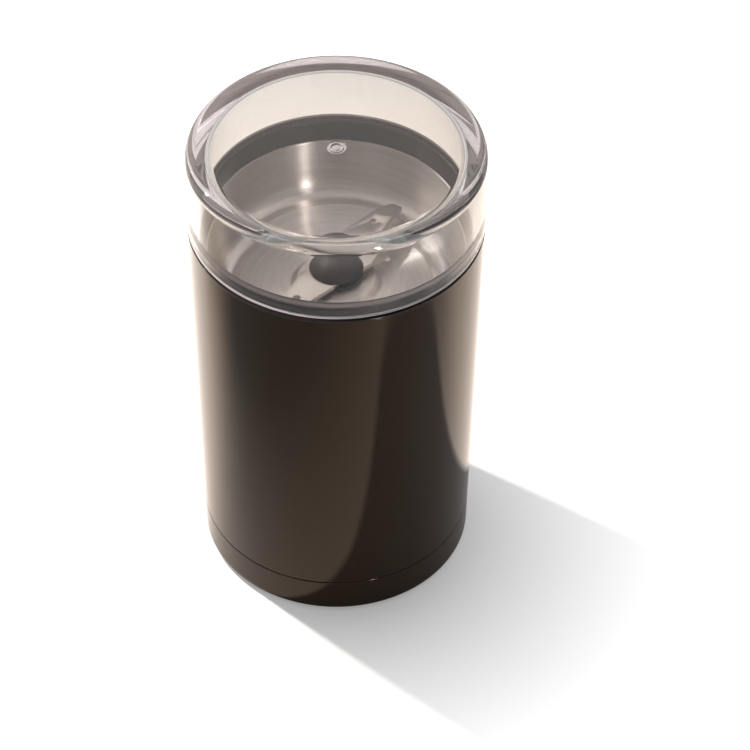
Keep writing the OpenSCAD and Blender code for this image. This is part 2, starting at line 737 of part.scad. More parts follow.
module base_cover() {
    color([0.13, 0.11, 0.09]) difference() {
        union() {
            rotate_extrude() base_section();
            for (place = post_places) at(place, post_place_r) translate([0, 0, base_z + 1])
                cylinder(r = tower_r, h = tower_top_z - base_z - 1);
            translate([0, (gland_inner_y + gland_wall_y) / 2 - 0.5, 0])
                box([gland_pad_w, gland_wall_y - gland_inner_y - 1, seam_z - base_z - 3], base_z + 1.5);
            for (side = [-1, 1]) translate([side * (block_w / 2 + seat_clear + rib_t / 2), 0, 0])
                translate([0, block_y + block_d / 2, 0])
                    box([rib_t, block_d, rib_h], base_floor_z - cut);
            for (side = [-1, 1]) at(capacitor_angle, capacitor_place_r)
                translate([side * (capacitor_d / 2 + seat_clear + rib_t / 2), 0, 0])
                    box([rib_t, capacitor_w, rib_h], base_floor_z - cut);
        }
        for (place = post_places) at(place, post_place_r) tower_bores();
        for (place = foot_places) at(place, foot_place_r) translate([0, 0, base_z - cut])
            cylinder(r = foot_r + seat_clear, h = foot_recess + cut);
        for (i = [0:vent_count - 1]) at(360 * i / vent_count, vent_place_r) vent();
        for (side = [0, 180, 270], i = [-2:2]) at(side + side_vent_pitch * i, side_vent_place_r) vent();
        gland_bores();
    }
}

module rubber_feet() {
    color([0.08, 0.08, 0.08]) for (place = foot_places) at(place, foot_place_r)
        cylinder(r = foot_r, h = foot_proud + foot_recess);
}

module base_screws() {
    color([0.6, 0.6, 0.62]) for (place = post_places) at(place, post_place_r)
        screw(base_screw_r, base_screw_head_r, base_screw_head_t,
            post_end_z - tower_seat_z + base_screw_grip, tower_seat_z);
}

module cord_gland() {
    inner_z = gland_inner_y - seat_clear - gland_flange_t;
    outer_z = gland_wall_y + seat_clear;
    color([0.09, 0.09, 0.09]) translate([0, 0, gland_z]) rotate([-90, 0, 0]) difference() {
        union() {
            translate([0, 0, inner_z]) cylinder(r = gland_flange_r, h = gland_flange_t);
            translate([0, 0, inner_z]) cylinder(r = gland_neck_r, h = outer_z - inner_z + gland_flange_t);
            translate([0, 0, outer_z]) cylinder(r = gland_flange_r, h = gland_flange_t);
        }
        cylinder(r = gland_bore_r, h = base_r + 2 * gland_flange_t);
    }
}

// The chassis turned about the motor's axis: deck, seal tube, wall and the ring under the bowl's rim
module chassis_section() {
    shaft_hole_r = shaft_r + 1;
    seal_bore_r = seal_r + seat_clear;
    polygon([
        [shaft_hole_r, deck_under_z], [chassis_r, deck_under_z], [chassis_r, seat_z],
        [bowl_back_r, seat_z], [bowl_back_r, ring_z], [chassis_inner_r, ring_z - 2],
        [chassis_inner_r, deck_z], [boss_tube_r, deck_z], [boss_tube_r, boss_tube_z],
        [seal_bore_r, boss_tube_z], [seal_bore_r, deck_z], [shaft_hole_r, deck_z]]);
}

// A rod's guide hole, the bore of its spring and the pocket of its head
module rod_bores() {
    spring_bore_h = head_under_z + seat_clear - rod_spring_seat_z;
    at(0, rod_place_r) {
        translate([0, 0, deck_under_z - cut])
            cylinder(r = rod_r + slide_clear, h = rod_spring_seat_z - deck_under_z + 2 * cut);
        translate([0, 0, rod_spring_seat_z]) cylinder(r = rod_spring_bore_r, h = spring_bore_h);
    }
    translate([rod_place_r - rod_spring_bore_r, 0, 0])
        box([2 * rod_spring_bore_r, 1.4 * rod_spring_bore_r, spring_bore_h], rod_spring_seat_z);
    sector(head_r - 0.2, chassis_r + cut, tab_angle + 2 * tab_side_clear,
        head_under_z - push_travel - 0.3, seat_z + cut);
}

module chassis() {
    color([0.82, 0.82, 0.8]) difference() {
        union() {
            rotate_extrude() chassis_section();
            for (place = post_places) at(place, post_place_r) translate([0, 0, post_end_z])
                cylinder(r = post_r, h = deck_under_z - post_end_z + 1);
            for (side = [-1, 1]) translate([0, side * mount_place, mount_z])
                cylinder(r = grommet_flange_r, h = mount_boss_h + 1);
            for (side = tab_sides) rotate([0, 0, side])
                sector(bowl_back_r + 0.4, chassis_r - 0.5, 12, deck_z - 1, ring_z + 1);
            for (side = [-1, 1]) translate([bracket_screw_x, side * bracket_screw_y, deck_z - 1])
                cylinder(r = bracket_boss_r, h = bracket_boss_h + 1);
        }
        for (place = post_places) at(place, post_place_r) translate([0, 0, post_end_z - cut])
            cylinder(r = base_screw_r + 0.05, h = base_screw_grip + 2 + cut);
        for (side = [-1, 1]) translate([0, side * mount_place, mount_z - cut])
            cylinder(r = mount_screw_r + 0.05, h = mount_screw_grip + cut);
        for (side = [-1, 1]) translate([bracket_screw_x, side * bracket_screw_y, deck_under_z - cut])
            cylinder(r = small_screw_r + 0.05, h = deck_t + bracket_boss_h - 0.6 + cut);
        for (side = tab_sides) rotate([0, 0, side]) rod_bores();
        for (place = hook_places) rotate([0, 0, place]) {
            sector(hook_r - seat_clear, hook_r + hook_t + seat_clear, hook_angle + 1,
                hook_end_z - 0.5, seat_z + cut);
            sector(hook_r - seat_clear, chassis_r + cut, hook_angle + 1, hook_end_z - 0.5,
                hook_barb_z + 0.2);
        }
    }
}

module air_baffle() {
    color([0.75, 0.75, 0.73]) difference() {
        ring(shell_inner(baffle_z) - 2 * wall_clear, baffle_hole_r, baffle_z + 0.05, post_end_z - 0.05);
        for (place = post_places) at(place, post_place_r) translate([0, 0, baffle_z - cut])
            cylinder(r = base_screw_r + 0.2, h = baffle_t + 2 * cut);
        translate([0, lead_hole_y, baffle_z - cut]) cylinder(r = lead_hole_r, h = baffle_t + 2 * cut);
    }
}

// ---- Blade and hub ----

// One wing's outline along +X. The cutting edge is on the -Y side, and its root is set over to
// that side.
module wing_outline() {
    half_root = blade_root_w / 2;
    half_waist = blade_waist_w / 2;
    half_tip = blade_tip_w / 2;
    cut_round = 0.5;
    back_round = 1.4;
    waist_in = 2.5;
    waist_offset = blade_offset / 5;
    polygon(concat(
        [[0, -half_root - blade_offset], [hub_r, -half_root - blade_offset],
            [blade_bend_r - waist_in, -half_waist - waist_offset]],
        arc([blade_r - cut_round, -half_tip + cut_round], cut_round, -90, 0, 4),
        arc([blade_r - back_round, half_tip - back_round], back_round, 0, 90, 4),
        [[hub_r, half_root - blade_offset], [0, half_root - blade_offset]]));
}

module wing() {
    difference() {
        union() {
            linear_extrude(blade_t) intersection() {
                wing_outline();
                translate([blade_bend_r, 0]) rotate(blade_bend_skew)
                    translate([-2 * blade_r, -blade_r]) square([2 * blade_r, 2 * blade_r]);
            }
            translate([blade_bend_r, 0, blade_t]) rotate([0, 0, blade_bend_skew])
                rotate([0, blade_bend, 0]) translate([0, 0, -blade_t])
                    linear_extrude(blade_t) intersection() {
                        rotate(-blade_bend_skew) translate([-blade_bend_r, 0]) wing_outline();
                        translate([0, -blade_r]) square([blade_r, 2 * blade_r]);
                    }
        }
        translate([blade_hole_place_r, 0, -cut])
            cylinder(r = blade_hole_r, h = blade_t + 2 * cut);
    }
}

module blade() {
    color([0.7, 0.69, 0.67]) translate([0, 0, blade_z]) difference() {
        union() {
            at(blade_angle) wing();
            at(blade_angle + 180) wing();
        }
        translate([0, 0, -cut]) cylinder(r = journal_r + seat_clear, h = blade_t + 2 * cut);
    }
}

module blade_carrier() {
    color([0.22, 0.21, 0.22]) difference() {
        ring(hub_r, thread_bore_r, carrier_z, blade_z);
        translate([0, 0, carrier_z - cut])
            cylinder(r = shaft_r + seat_clear, h = thread_z - carrier_z + cut);
    }
}

module hub_cap() {
    dome_r = (hub_r * hub_r + (hub_h - hub_skirt) * (hub_h - hub_skirt)) / (2 * (hub_h - hub_skirt));
    color([0.22, 0.21, 0.22]) difference() {
        union() {
            translate([0, 0, blade_top_z]) cylinder(r = hub_r, h = hub_skirt);
            intersection() {
                translate([0, 0, hub_top_z - dome_r]) sphere(r = dome_r);
                translate([0, 0, blade_top_z + hub_skirt - 0.05]) cylinder(r = hub_r, h = hub_h);
            }
        }
        translate([0, 0, blade_top_z - cut]) cylinder(r = nut_r + seat_clear, h = nut_h + 2 * cut);
    }
}

module hub_nut() {
    color([0.8, 0.65, 0.35]) translate([0, 0, blade_top_z]) difference() {
        cylinder(r = nut_r, h = nut_h, $fn = 6);
        translate([0, 0, -cut]) cylinder(r = journal_r + bearing_clear, h = nut_h + 2 * cut);
    }
}

// ---- Rotor ----

module motor_shaft() {
    color([0.7, 0.7, 0.72]) {
        translate([0, 0, shaft_end_z]) cylinder(r = journal_r, h = journal_top_z - shaft_end_z);
        translate([0, 0, journal_top_z]) cylinder(r = shaft_r, h = thread_z - journal_top_z);
        translate([0, 0, thread_z]) cylinder(r = journal_r, h = thread_top_z - thread_z);
    }
}

module armature_core() {
    color([0.45, 0.45, 0.47]) difference() {
        ring(armature_r, shaft_r + bearing_clear, stator_z, stator_top_z);
        for (i = [0:slot_count - 1]) at(360 * i / slot_count, slot_place_r) {
            translate([0, 0, stator_z - cut]) cylinder(r = slot_r, h = stack_h + 2 * cut);
            translate([armature_r / 2, 0, 0])
                box([armature_r, core_slot_w, stack_h + 2 * cut], stator_z - cut);
        }
    }
}

// One end of the armature's windings, with its outer edges rounded
module winding_end() {
    inner_r = shaft_r + 2;
    outer_r = slot_place_r + slot_r;
    edge_r = (outer_r - inner_r) * 0.3;
    rotate_extrude() polygon(concat(
        [[inner_r, 0.2], [outer_r, 0.2]],
        arc([outer_r - edge_r, winding_h - edge_r], edge_r, 0, 90, 4),
        arc([inner_r + edge_r, winding_h - edge_r], edge_r, 90, 180, 4)));
}

module armature_windings() {
    color([0.7, 0.38, 0.2]) {
        translate([0, 0, stator_top_z]) winding_end();
        translate([0, 0, stator_z]) mirror([0, 0, 1]) winding_end();
        for (i = [0:slot_count - 1]) at(360 * i / slot_count, slot_place_r)
            translate([0, 0, stator_z - 1]) cylinder(r = slot_r - 0.2, h = stack_h + 2);
    }
}

module commutator() {
    color([0.78, 0.45, 0.25]) {
        difference() {
            ring(commutator_r, commutator_hub_r + seat_clear, commutator_z, commutator_top_z);
            for (i = [0:slot_count - 1]) at(360 * (i + 0.5) / slot_count, commutator_r)
                box([commutator_r + commutator_hub_r, commutator_slot_w, commutator_h + 2 * cut],
                    commutator_z - cut);
        }
        ring(commutator_hub_r, shaft_r + bearing_clear, commutator_z, commutator_top_z);
    }
}

module cooling_fan() {
    blade_len = fan_r - fan_hub_r - 2.5;
    color([0.2, 0.2, 0.22]) {
        ring(fan_hub_r, journal_r + bearing_clear, fan_z - 0.8, fan_z + fan_h);
        ring(fan_r, fan_hub_r - cut, fan_z + fan_h - fan_blade_t, fan_z + fan_h);
        for (i = [0:fan_count - 1]) at(360 * i / fan_count, (fan_hub_r + fan_r) / 2 - cut)
            rotate([0, 0, 12]) box([blade_len, fan_blade_t, fan_h - fan_blade_t / 2], fan_z);
    }
}

module thrust_washers() {
    color([0.9, 0.9, 0.88]) {
        ring(washer_r, journal_r + bearing_clear, lower_washer_z, lower_washer_z + washer_t);
        ring(washer_r, shaft_r + bearing_clear, upper_washer_z, upper_washer_z + washer_t);
    }
}

// ---- Stator and bridges ----

module stator_core() {
    color([0.5, 0.5, 0.52]) difference() {
        translate([0, 0, stator_z]) linear_extrude(stack_h) difference() {
            union() {
                difference() {
                    square([stator_w, stator_d], center = true);
                    square([stator_w - 2 * yoke_t, stator_d - 2 * yoke_t], center = true);
                }
                square([stator_w - yoke_t, pole_neck_w], center = true);
                circle(r = pole_shoe_r);
            }
            circle(r = stator_bore_r);
            square([pole_gap_w, stator_d - 2 * yoke_t], center = true);
        }
        for (side = [-1, 1]) translate([0, side * motor_screw_y, stator_z - cut])
            cylinder(r = motor_screw_r + seat_clear, h = stack_h + 2 * cut);
    }
}

// A rounded bar outline that stands in the plane across X
module coil_outline(w, z_low, z_high, corner_r) {
    for (y = [-1, 1], z = [z_low + corner_r, z_high - corner_r])
        translate([0, y * (w / 2 - corner_r), z]) rotate([0, 90, 0])
            cylinder(r = corner_r, h = coil_outer_x - coil_inner_x);
    translate([0, -w / 2, z_low + corner_r])
        cube([coil_outer_x - coil_inner_x, w, z_high - z_low - 2 * corner_r]);
    translate([0, -w / 2 + corner_r, z_low])
        cube([coil_outer_x - coil_inner_x, w - 2 * corner_r, z_high - z_low]);
}

module field_coils() {
    color([0.72, 0.4, 0.2]) for (side = [0, 180]) at(side, coil_inner_x) difference() {
        coil_outline(coil_w, coil_low_z, stator_top_z + coil_over, coil_corner_r);
        translate([-cut, -pole_neck_w / 2 - coil_clear, stator_z - coil_clear])
            cube([coil_outer_x, pole_neck_w + 2 * coil_clear, stack_h + 2 * coil_clear]);
    }
}

// Two legs that stand on the stator's yokes
module bridge_legs(z_low, z_high) {
    for (side = [-1, 1]) translate([0, side * (stator_d / 2 - leg_in / 2 - 0.5), 0])
        box([leg_w, leg_in - 0.5, z_high - z_low], z_low);
}

module motor_screw_holes(z_low, z_high) {
    for (side = [-1, 1]) translate([0, side * motor_screw_y, z_low])
        cylinder(r = motor_screw_r + seat_clear, h = z_high - z_low);
}

module upper_bridge() {
    color([0.68, 0.68, 0.7]) difference() {
        union() {
            box([bridge_w, stator_d - 1, upper_plate_t], upper_plate_under_z);
            for (side = [-1, 1]) translate([0, side * mount_place, upper_plate_under_z]) {
                cylinder(r = mount_ear_r, h = upper_plate_t);
                translate([0, -side * mount_place / 4, 0])
                    box([2 * mount_ear_r, mount_place / 2, upper_plate_t], 0);
            }
            bridge_legs(stator_top_z, upper_plate_under_z + 0.5);
            translate([0, 0, upper_cup_z])
                cylinder(r = bearing_r + bearing_cup_t, h = bearing_h + 0.5);
        }
        motor_screw_holes(stator_top_z - cut, upper_plate_z - upper_plate_t / 3);
        for (side = [-1, 1]) translate([0, side * mount_place, upper_plate_under_z - cut])
            cylinder(r = grommet_neck_r + seat_clear, h = upper_plate_t + 2 * cut);
        translate([0, 0, upper_bearing_z - seat_clear])
            cylinder(r = bearing_r + seat_clear, h = bearing_h + cut);
        translate([0, 0, upper_cup_z - cut]) cylinder(r = bearing_r - 1, h = bearing_h);
    }
}

module lower_bridge() {
    hole_w = brush_w + 2 * (brush_clear + brush_tube_t + seat_clear);
    hole_h = brush_h + 2 * (brush_clear + brush_tube_t + seat_clear);
    color([0.15, 0.13, 0.12]) difference() {
        union() {
            box([bridge_w, stator_d - 1, lower_plate_t], lower_plate_under_z);
            bridge_legs(lower_plate_under_z + 1, stator_z);
            translate([0, 0, lower_plate_under_z])
                cylinder(r = bearing_r + bearing_cup_t, h = bearing_h + 0.5);
            for (side = [0, 180]) at(side) {
                translate([tube_start + holder_len / 2, 0, 0])
                    box([holder_len, hole_w + 2 * holder_wall,
                        brush_z + hole_h / 2 + 1 - lower_plate_under_z], lower_plate_under_z);
                translate([tube_start / 2 + 1, 0, 0])
                    box([tube_start + 2, hole_w + 2 * holder_wall, lower_plate_t], lower_plate_under_z);
            }
        }
        motor_screw_holes(lower_plate_under_z - cut, stator_z + cut);
        translate([0, 0, lower_bearing_z - seat_clear])
            cylinder(r = bearing_r + seat_clear, h = bearing_h + 2 * cut);
        translate([0, 0, lower_plate_under_z - cut]) cylinder(r = bearing_r - 1, h = bearing_h);
        for (side = [0, 180]) at(side, tube_start + holder_len / 2)
            box([holder_len + 2 * cut, hole_w, hole_h], brush_z - hole_h / 2);
    }
}

module upper_bearing() {
    color([0.72, 0.5, 0.28])
        ring(bearing_r, shaft_r + bearing_clear, upper_bearing_z, upper_bearing_z + bearing_h);
}

module lower_bearing() {
    color([0.72, 0.5, 0.28])
        ring(bearing_r, journal_r + bearing_clear, lower_bearing_z, lower_bearing_z + bearing_h);
}

module motor_screws() {
    color([0.6, 0.6, 0.62]) for (side = [-1, 1]) translate([0, side * motor_screw_y, 0])
        screw(motor_screw_r, motor_screw_head_r, motor_screw_head_t,
            upper_plate_z - upper_plate_t / 2 - lower_plate_under_z, lower_plate_under_z);
}

module motor_grommets() {
    color([0.1, 0.1, 0.1]) for (side = [-1, 1]) translate([0, side * mount_place, 0]) difference() {
        union() {
            translate([0, 0, grommet_z]) cylinder(r = grommet_flange_r, h = grommet_low_t);
            translate([0, 0, grommet_z]) cylinder(r = grommet_neck_r, h = mount_z - grommet_z);
            translate([0, 0, mount_z - grommet_top_t])
                cylinder(r = grommet_flange_r, h = grommet_top_t);
        }
        translate([0, 0, grommet_z - cut])
            cylinder(r = mount_screw_r + seat_clear, h = mount_z - grommet_z + 2 * cut);
    }
}

module mount_screws() {
    color([0.6, 0.6, 0.62]) for (side = [-1, 1]) translate([0, side * mount_place, 0])
        screw(mount_screw_r, mount_screw_head_r, mount_screw_head_t,
            mount_z - grommet_z + mount_screw_grip - cut, grommet_z);
}

// ---- Brushes ----

module brush_tubes() {
    outer_w = brush_w + 2 * (brush_clear + brush_tube_t);
    outer_h = brush_h + 2 * (brush_clear + brush_tube_t);
    length = tube_end - tube_start;
    color([0.8, 0.66, 0.35]) for (side = [0, 180]) at(side, tube_start + length / 2) difference() {
        box([length, outer_w, outer_h], brush_z - outer_h / 2);
        box([length + 2 * cut, brush_w + 2 * brush_clear, brush_h + 2 * brush_clear],
            brush_z - brush_h / 2 - brush_clear);
    }
}

module brush_caps() {
    outer_w = brush_w + 2 * (brush_clear + brush_tube_t);
    outer_h = brush_h + 2 * (brush_clear + brush_tube_t);
    color([0.1, 0.1, 0.1]) for (side = [0, 180]) at(side, tube_end + cap_t / 2)
        box([cap_t, outer_w, outer_h], brush_z - outer_h / 2);
}

module carbon_brush() {
    face_depth = brush_start - sqrt(pow(brush_start, 2) - pow(brush_w / 2, 2));
    blank_len = brush_len + face_depth + cut;
    difference() {
        translate([spring_start - blank_len / 2, 0, 0])
            box([blank_len, brush_w, brush_h], brush_z - brush_h / 2);
        translate([0, 0, brush_z - brush_h]) cylinder(r = brush_start, h = 2 * brush_h);
    }
}

module brush_spring() {
    translate([spring_start, 0, brush_z]) rotate([0, 90, 0])
        coil_spring(brush_spring_r, brush_spring_wire_r, brush_spring_len, brush_spring_turns);
}

module brush_left() {
    color([0.12, 0.12, 0.13]) at(180) carbon_brush();
}

module brush_right() {
    color([0.12, 0.12, 0.13]) carbon_brush();
}

module brush_spring_left() {
    color([0.6, 0.6, 0.62]) at(180) brush_spring();
}

module brush_spring_right() {
    color([0.6, 0.6, 0.62]) brush_spring();
}

// ---- Push rods and switch ----

// A rod with its head, which a lid tab presses, and a groove for its clip
module push_rod(end_z) {
    sector(head_r, chassis_r - 0.2, head_angle, head_under_z, head_z);
    at(0, rod_place_r) difference() {
        translate([0, 0, end_z]) cylinder(r = rod_r, h = head_under_z - end_z);
        ring(rod_r + cut, rod_groove_r, rod_clip_top_z - rod_clip_t - 0.05, rod_clip_top_z + 0.05);
    }
}

module rod_clip() {
    translate([rod_place_r, 0, 0]) difference() {
        ring(rod_clip_r, rod_groove_r + bearing_clear, rod_clip_top_z - rod_clip_t, rod_clip_top_z);
        translate([-rod_clip_r, 0, 0])
            box([2 * rod_clip_r, 1.2 * rod_groove_r, rod_clip_t + 2 * cut],
                rod_clip_top_z - rod_clip_t - cut);
    }
}

module push_rod_left() {
    color([0.9, 0.9, 0.88]) at(180) push_rod(rod_left_end_z);
}

module push_rod_right() {
    color([0.9, 0.9, 0.88]) push_rod(rod_right_end_z);
}

module rod_clip_left() {
    color([0.6, 0.6, 0.62]) at(180) rod_clip();
}

module rod_clip_right() {
    color([0.6, 0.6, 0.62]) rod_clip();
}

module rod_springs() {
    color([0.6, 0.6, 0.62]) for (side = tab_sides) at(side, rod_place_r)
        translate([0, 0, rod_spring_seat_z])
            coil_spring(rod_spring_r, rod_spring_wire_r, head_under_z - rod_spring_seat_z,
                rod_spring_turns);
}

module switch_finger() {
    color([0.9, 0.9, 0.88]) difference() {
        translate([(finger_inner_r + finger_outer_r) / 2, 0, 0])
            box([finger_outer_r - finger_inner_r, finger_w, finger_h], finger_z);
        translate([rod_place_r, 0, rod_right_end_z - seat_clear])
            cylinder(r = rod_r + seat_clear, h = finger_h);
    }
}

module switch_screw_holes() {
    for (side = [-1, 1]) translate([0, side * switch_pitch / 2, switch_screw_z]) rotate([0, 90, 0])
        cylinder(r = small_screw_r + seat_clear, h = 2 * switch_place);
}

module switch_body() {
    color([0.12, 0.12, 0.14]) difference() {
        translate([switch_place, 0, 0]) box([switch_t, switch_w, switch_h], switch_top_z - switch_h);
        translate([switch_place, 0, switch_top_z - plunger_len + plunger_rise - push_travel - 0.3])
            cylinder(r = plunger_r + plunger_bore_clear, h = plunger_len);
        switch_screw_holes();
    }
}

module switch_plunger() {
    color([0.75, 0.15, 0.12]) translate([switch_place, 0, switch_top_z + plunger_rise - plunger_len])
        cylinder(r = plunger_r, h = plunger_len);
}

module switch_terminals() {
    color([0.8, 0.66, 0.35]) for (side = [-1, 1])
        translate([switch_place, side * terminal_y, 0])
            box([terminal_t, terminal_w, terminal_len], terminal_z);
}

module switch_bracket() {
    color([0.68, 0.68, 0.7]) difference() {
        union() {
            translate([bracket_x + bracket_t / 2, 0, 0])
                box([bracket_t, switch_w, deck_under_z - switch_top_z + switch_h],
                    switch_top_z - switch_h);
            translate([bracket_x + bracket_t - bracket_foot / 2, 0, 0])
                box([bracket_foot, switch_w, bracket_t], deck_under_z - bracket_t);
        }
        switch_screw_holes();
        for (side = [-1, 1]) translate([bracket_screw_x, side * bracket_screw_y, deck_under_z - bracket_t])
            translate([0, 0, -cut]) cylinder(r = small_screw_r + seat_clear, h = bracket_t + 2 * cut);
    }
}

module switch_screws() {
    grip = switch_t + seat_clear + bracket_t + 0.8;
    color([0.6, 0.6, 0.62]) for (side = [-1, 1])
        translate([switch_place + switch_t / 2, side * switch_pitch / 2, switch_screw_z])
            rotate([0, -90, 0]) screw(small_screw_r, small_head_r, small_head_t, grip, 0);
}

module bracket_screws() {
    color([0.6, 0.6, 0.62]) for (side = [-1, 1])
        translate([bracket_screw_x, side * bracket_screw_y, 0])
            screw(small_screw_r, small_head_r, small_head_t,
                bracket_t + deck_t + bracket_boss_h - 1.5, deck_under_z - bracket_t);
}

// ---- Supply side ----

module terminal_block() {
    color([0.9, 0.9, 0.86]) difference() {
        translate([0, block_y + block_d / 2, 0]) box([block_w, block_d, block_h], base_floor_z);
        for (x = block_screws) translate([x, block_screw_y, block_top_z - block_screw_h - 0.8])
            cylinder(r = block_screw_r + 0.05, h = block_screw_h + 0.8 + cut);
    }
}

module terminal_screws() {
    slot_depth = 0.6;
    color([0.6, 0.6, 0.62]) for (x = block_screws)
        translate([x, block_screw_y, block_top_z - block_screw_h - 0.3]) difference() {
            cylinder(r = block_screw_r, h = block_screw_h);
            box([2 * block_screw_r, cut, slot_depth + cut], block_screw_h - slot_depth);
        }
}

module suppression_capacitor() {
    color([0.85, 0.72, 0.15]) at(capacitor_angle, capacitor_place_r)
        box([capacitor_d, capacitor_w, capacitor_h], base_floor_z);
}

module lead_live() {
    color([0.45, 0.25, 0.12]) swept(smooth(live_route), lead_r, lead_sides);
}

module lead_switched() {
    color([0.1, 0.1, 0.1]) swept(smooth(switched_route), lead_r, lead_sides);
}

module lead_neutral() {
    color([0.15, 0.3, 0.65]) swept(smooth(neutral_route), lead_r, lead_sides);
}

module brush_leads() {
    color([0.7, 0.2, 0.15]) for (side = [0, 180]) rotate([0, 0, side])
        swept(smooth(brush_route), lead_r, lead_sides);
}

lid();
collar();
bowl();
bowl_gasket();
shaft_seal();
body_shell();
base_cover();
rubber_feet();
base_screws();
cord_gland();
chassis();
air_baffle();
blade();
blade_carrier();
hub_cap();
hub_nut();
motor_shaft();
armature_core();
armature_windings();
commutator();
cooling_fan();
thrust_washers();
stator_core();
field_coils();
upper_bridge();
lower_bridge();
upper_bearing();
lower_bearing();
motor_screws();
motor_grommets();
mount_screws();
brush_tubes();
brush_caps();
brush_left();
brush_right();
brush_spring_left();
brush_spring_right();
push_rod_left();
push_rod_right();
rod_clip_left();
rod_clip_right();
rod_springs();
switch_finger();
switch_body();
switch_plunger();
switch_terminals();
switch_bracket();
switch_screws();
bracket_screws();
terminal_block();
terminal_screws();
suppression_capacitor();
lead_live();
lead_switched();
lead_neutral();
brush_leads();
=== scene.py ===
# %% [markdown]
# # An electric spice grinder
# An upright grinder with a clear lid that is pressed to run it, a steel bowl with a two-winged
# blade, and a dark lacquered body. The solids come from the CAD frame. This lesson dresses them:
# it turns smooth skins for the pieces that show, and gives every piece a finish made of nodes.

# %% Load the frame
import math
import bmesh
import bpy
from mathutils import Matrix, Vector


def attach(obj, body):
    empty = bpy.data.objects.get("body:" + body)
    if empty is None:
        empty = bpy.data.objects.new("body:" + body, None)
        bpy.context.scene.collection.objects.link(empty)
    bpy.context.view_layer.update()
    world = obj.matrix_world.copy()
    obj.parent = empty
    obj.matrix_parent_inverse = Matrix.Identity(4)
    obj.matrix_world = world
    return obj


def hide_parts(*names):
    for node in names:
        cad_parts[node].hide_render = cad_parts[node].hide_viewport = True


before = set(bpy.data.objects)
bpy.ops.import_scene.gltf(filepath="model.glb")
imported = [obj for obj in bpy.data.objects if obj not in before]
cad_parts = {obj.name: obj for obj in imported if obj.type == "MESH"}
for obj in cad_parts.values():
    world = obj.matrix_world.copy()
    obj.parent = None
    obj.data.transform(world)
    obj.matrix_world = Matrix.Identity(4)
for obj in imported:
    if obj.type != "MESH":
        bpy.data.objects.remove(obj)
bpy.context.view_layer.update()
print("nodes in the frame:", len(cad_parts))

# %% [markdown]
# ## Helpers for shapes
# Almost every piece that shows is round, as it would be from a lathe or a moulding tool, so one
# helper turns an outline about the upright axis. Outlines are lists of (radius, height) in
# millimetres. A third number on a corner rounds it, because no moulded or drawn edge is razor
# sharp and a small rounding is what catches the light. Long straight runs get an extra point
# near each end, which keeps smooth shading from bending across a flat face. That matters most
# in the clear lid, where it would act as a lens.

# %% Outlines
def rounded(corners, steps=6):
    """Corners with a third number become arcs of that radius."""
    outline = []
    for i, corner in enumerate(corners):
        here = Vector(corner[:2])
        if len(corner) == 2:
            outline.append(here)
            continue
        back = Vector(corners[i - 1][:2]) - here
        ahead = Vector(corners[(i + 1) % len(corners)][:2]) - here
        half = back.angle(ahead) / 2
        reach = corner[2] / math.tan(half)
        u, v = back.normalized(), ahead.normalized()
        centre = here + (u + v).normalized() * (corner[2] / math.sin(half))
        first, last = here + u * reach - centre, here + v * reach - centre
        turn = first.angle_signed(last)
        for k in range(steps + 1):
            outline.append(centre + Matrix.Rotation(-turn * k / steps, 2) @ first)
    return outline


def arc(centre, radius, first, last, steps=8):
    """Points on an arc, between two angles in degrees."""
    angles = [math.radians(first + (last - first) * k / steps) for k in range(steps + 1)]
    return [(centre[0] + radius * math.cos(a), centre[1] + radius * math.sin(a)) for a in angles]


def supported(outline, gap=0.12):
    """Adds a point near both ends of each long run."""
    points = []
    for i, p in enumerate(outline):
        here, ahead = Vector(p[:2]), Vector(outline[(i + 1) % len(outline)][:2])
        points.append(here)
        run = (ahead - here).length
        if run > 5 * gap:
            points += [here.lerp(ahead, gap / run), ahead.lerp(here, gap / run)]
    return points


print("points in a square with one rounded corner:", len(rounded([(0, 0), (9, 0), (9, 9, 2), (0, 9)])))

# %% [markdown]
# ## From an outline to a piece
# The outline is set out on every step of the turn, and faces join each step to the next. Where it
# meets the axis, its copies become one point. A part turn gets flat ends. The mesh is shaded
# smooth, except at edges where it turns more sharply than a set angle.

# %% Turning an outline
SMOOTH_BELOW = 35


def new_piece(name, bm, smooth_below=SMOOTH_BELOW):
    """Makes an object from a bmesh, smooth except at edges sharper than the angle."""
    mesh = bpy.data.meshes.new(name)
    bm.to_mesh(mesh)
    bm.free()
    mesh.shade_smooth()
    mesh.set_sharp_from_angle(angle=math.radians(smooth_below))
    piece = bpy.data.objects.new(name, mesh)
    bpy.context.scene.collection.objects.link(piece)
    return piece


def turned(name, outline, steps=256, sweep=360, facing=0):
    """Turns a closed outline about the Z axis, by a full turn or by a sweep of degrees."""
    whole = sweep == 360
    angles = [math.radians(facing + sweep * (k / steps - (0 if whole else 0.5)))
              for k in range(steps if whole else steps + 1)]
    bm = bmesh.new()
    rings = []
    for r, z in supported(outline):
        if r < 1e-6:
            rings.append([bm.verts.new((0, 0, z / 1000))] * len(angles))
        else:
            rings.append([bm.verts.new((r * math.cos(a) / 1000, r * math.sin(a) / 1000, z / 1000))
                          for a in angles])
    for i, ring in enumerate(rings):
        ahead = rings[(i + 1) % len(rings)]
        for k in range(len(angles) if whole else len(angles) - 1):
            n = (k + 1) % len(angles)
            corners = list(dict.fromkeys([ring[k], ring[n], ahead[n], ahead[k]]))
            if len(corners) > 2:
                bm.faces.new(corners)
    if not whole:
        for end in (0, -1):
            bm.faces.new(list(dict.fromkeys([ring[end] for ring in rings])))
    bmesh.ops.recalc_face_normals(bm, faces=bm.faces)
    return new_piece(name, bm)


# %% [markdown]
# ## Joining, cutting and moving
# Holes, towers and tabs are joined to a piece or cut from it, with exact solvers. Each result is
# settled into a plain mesh at once. Meshes are moved rather than objects, because every object
# stays at the origin of the shared frame.

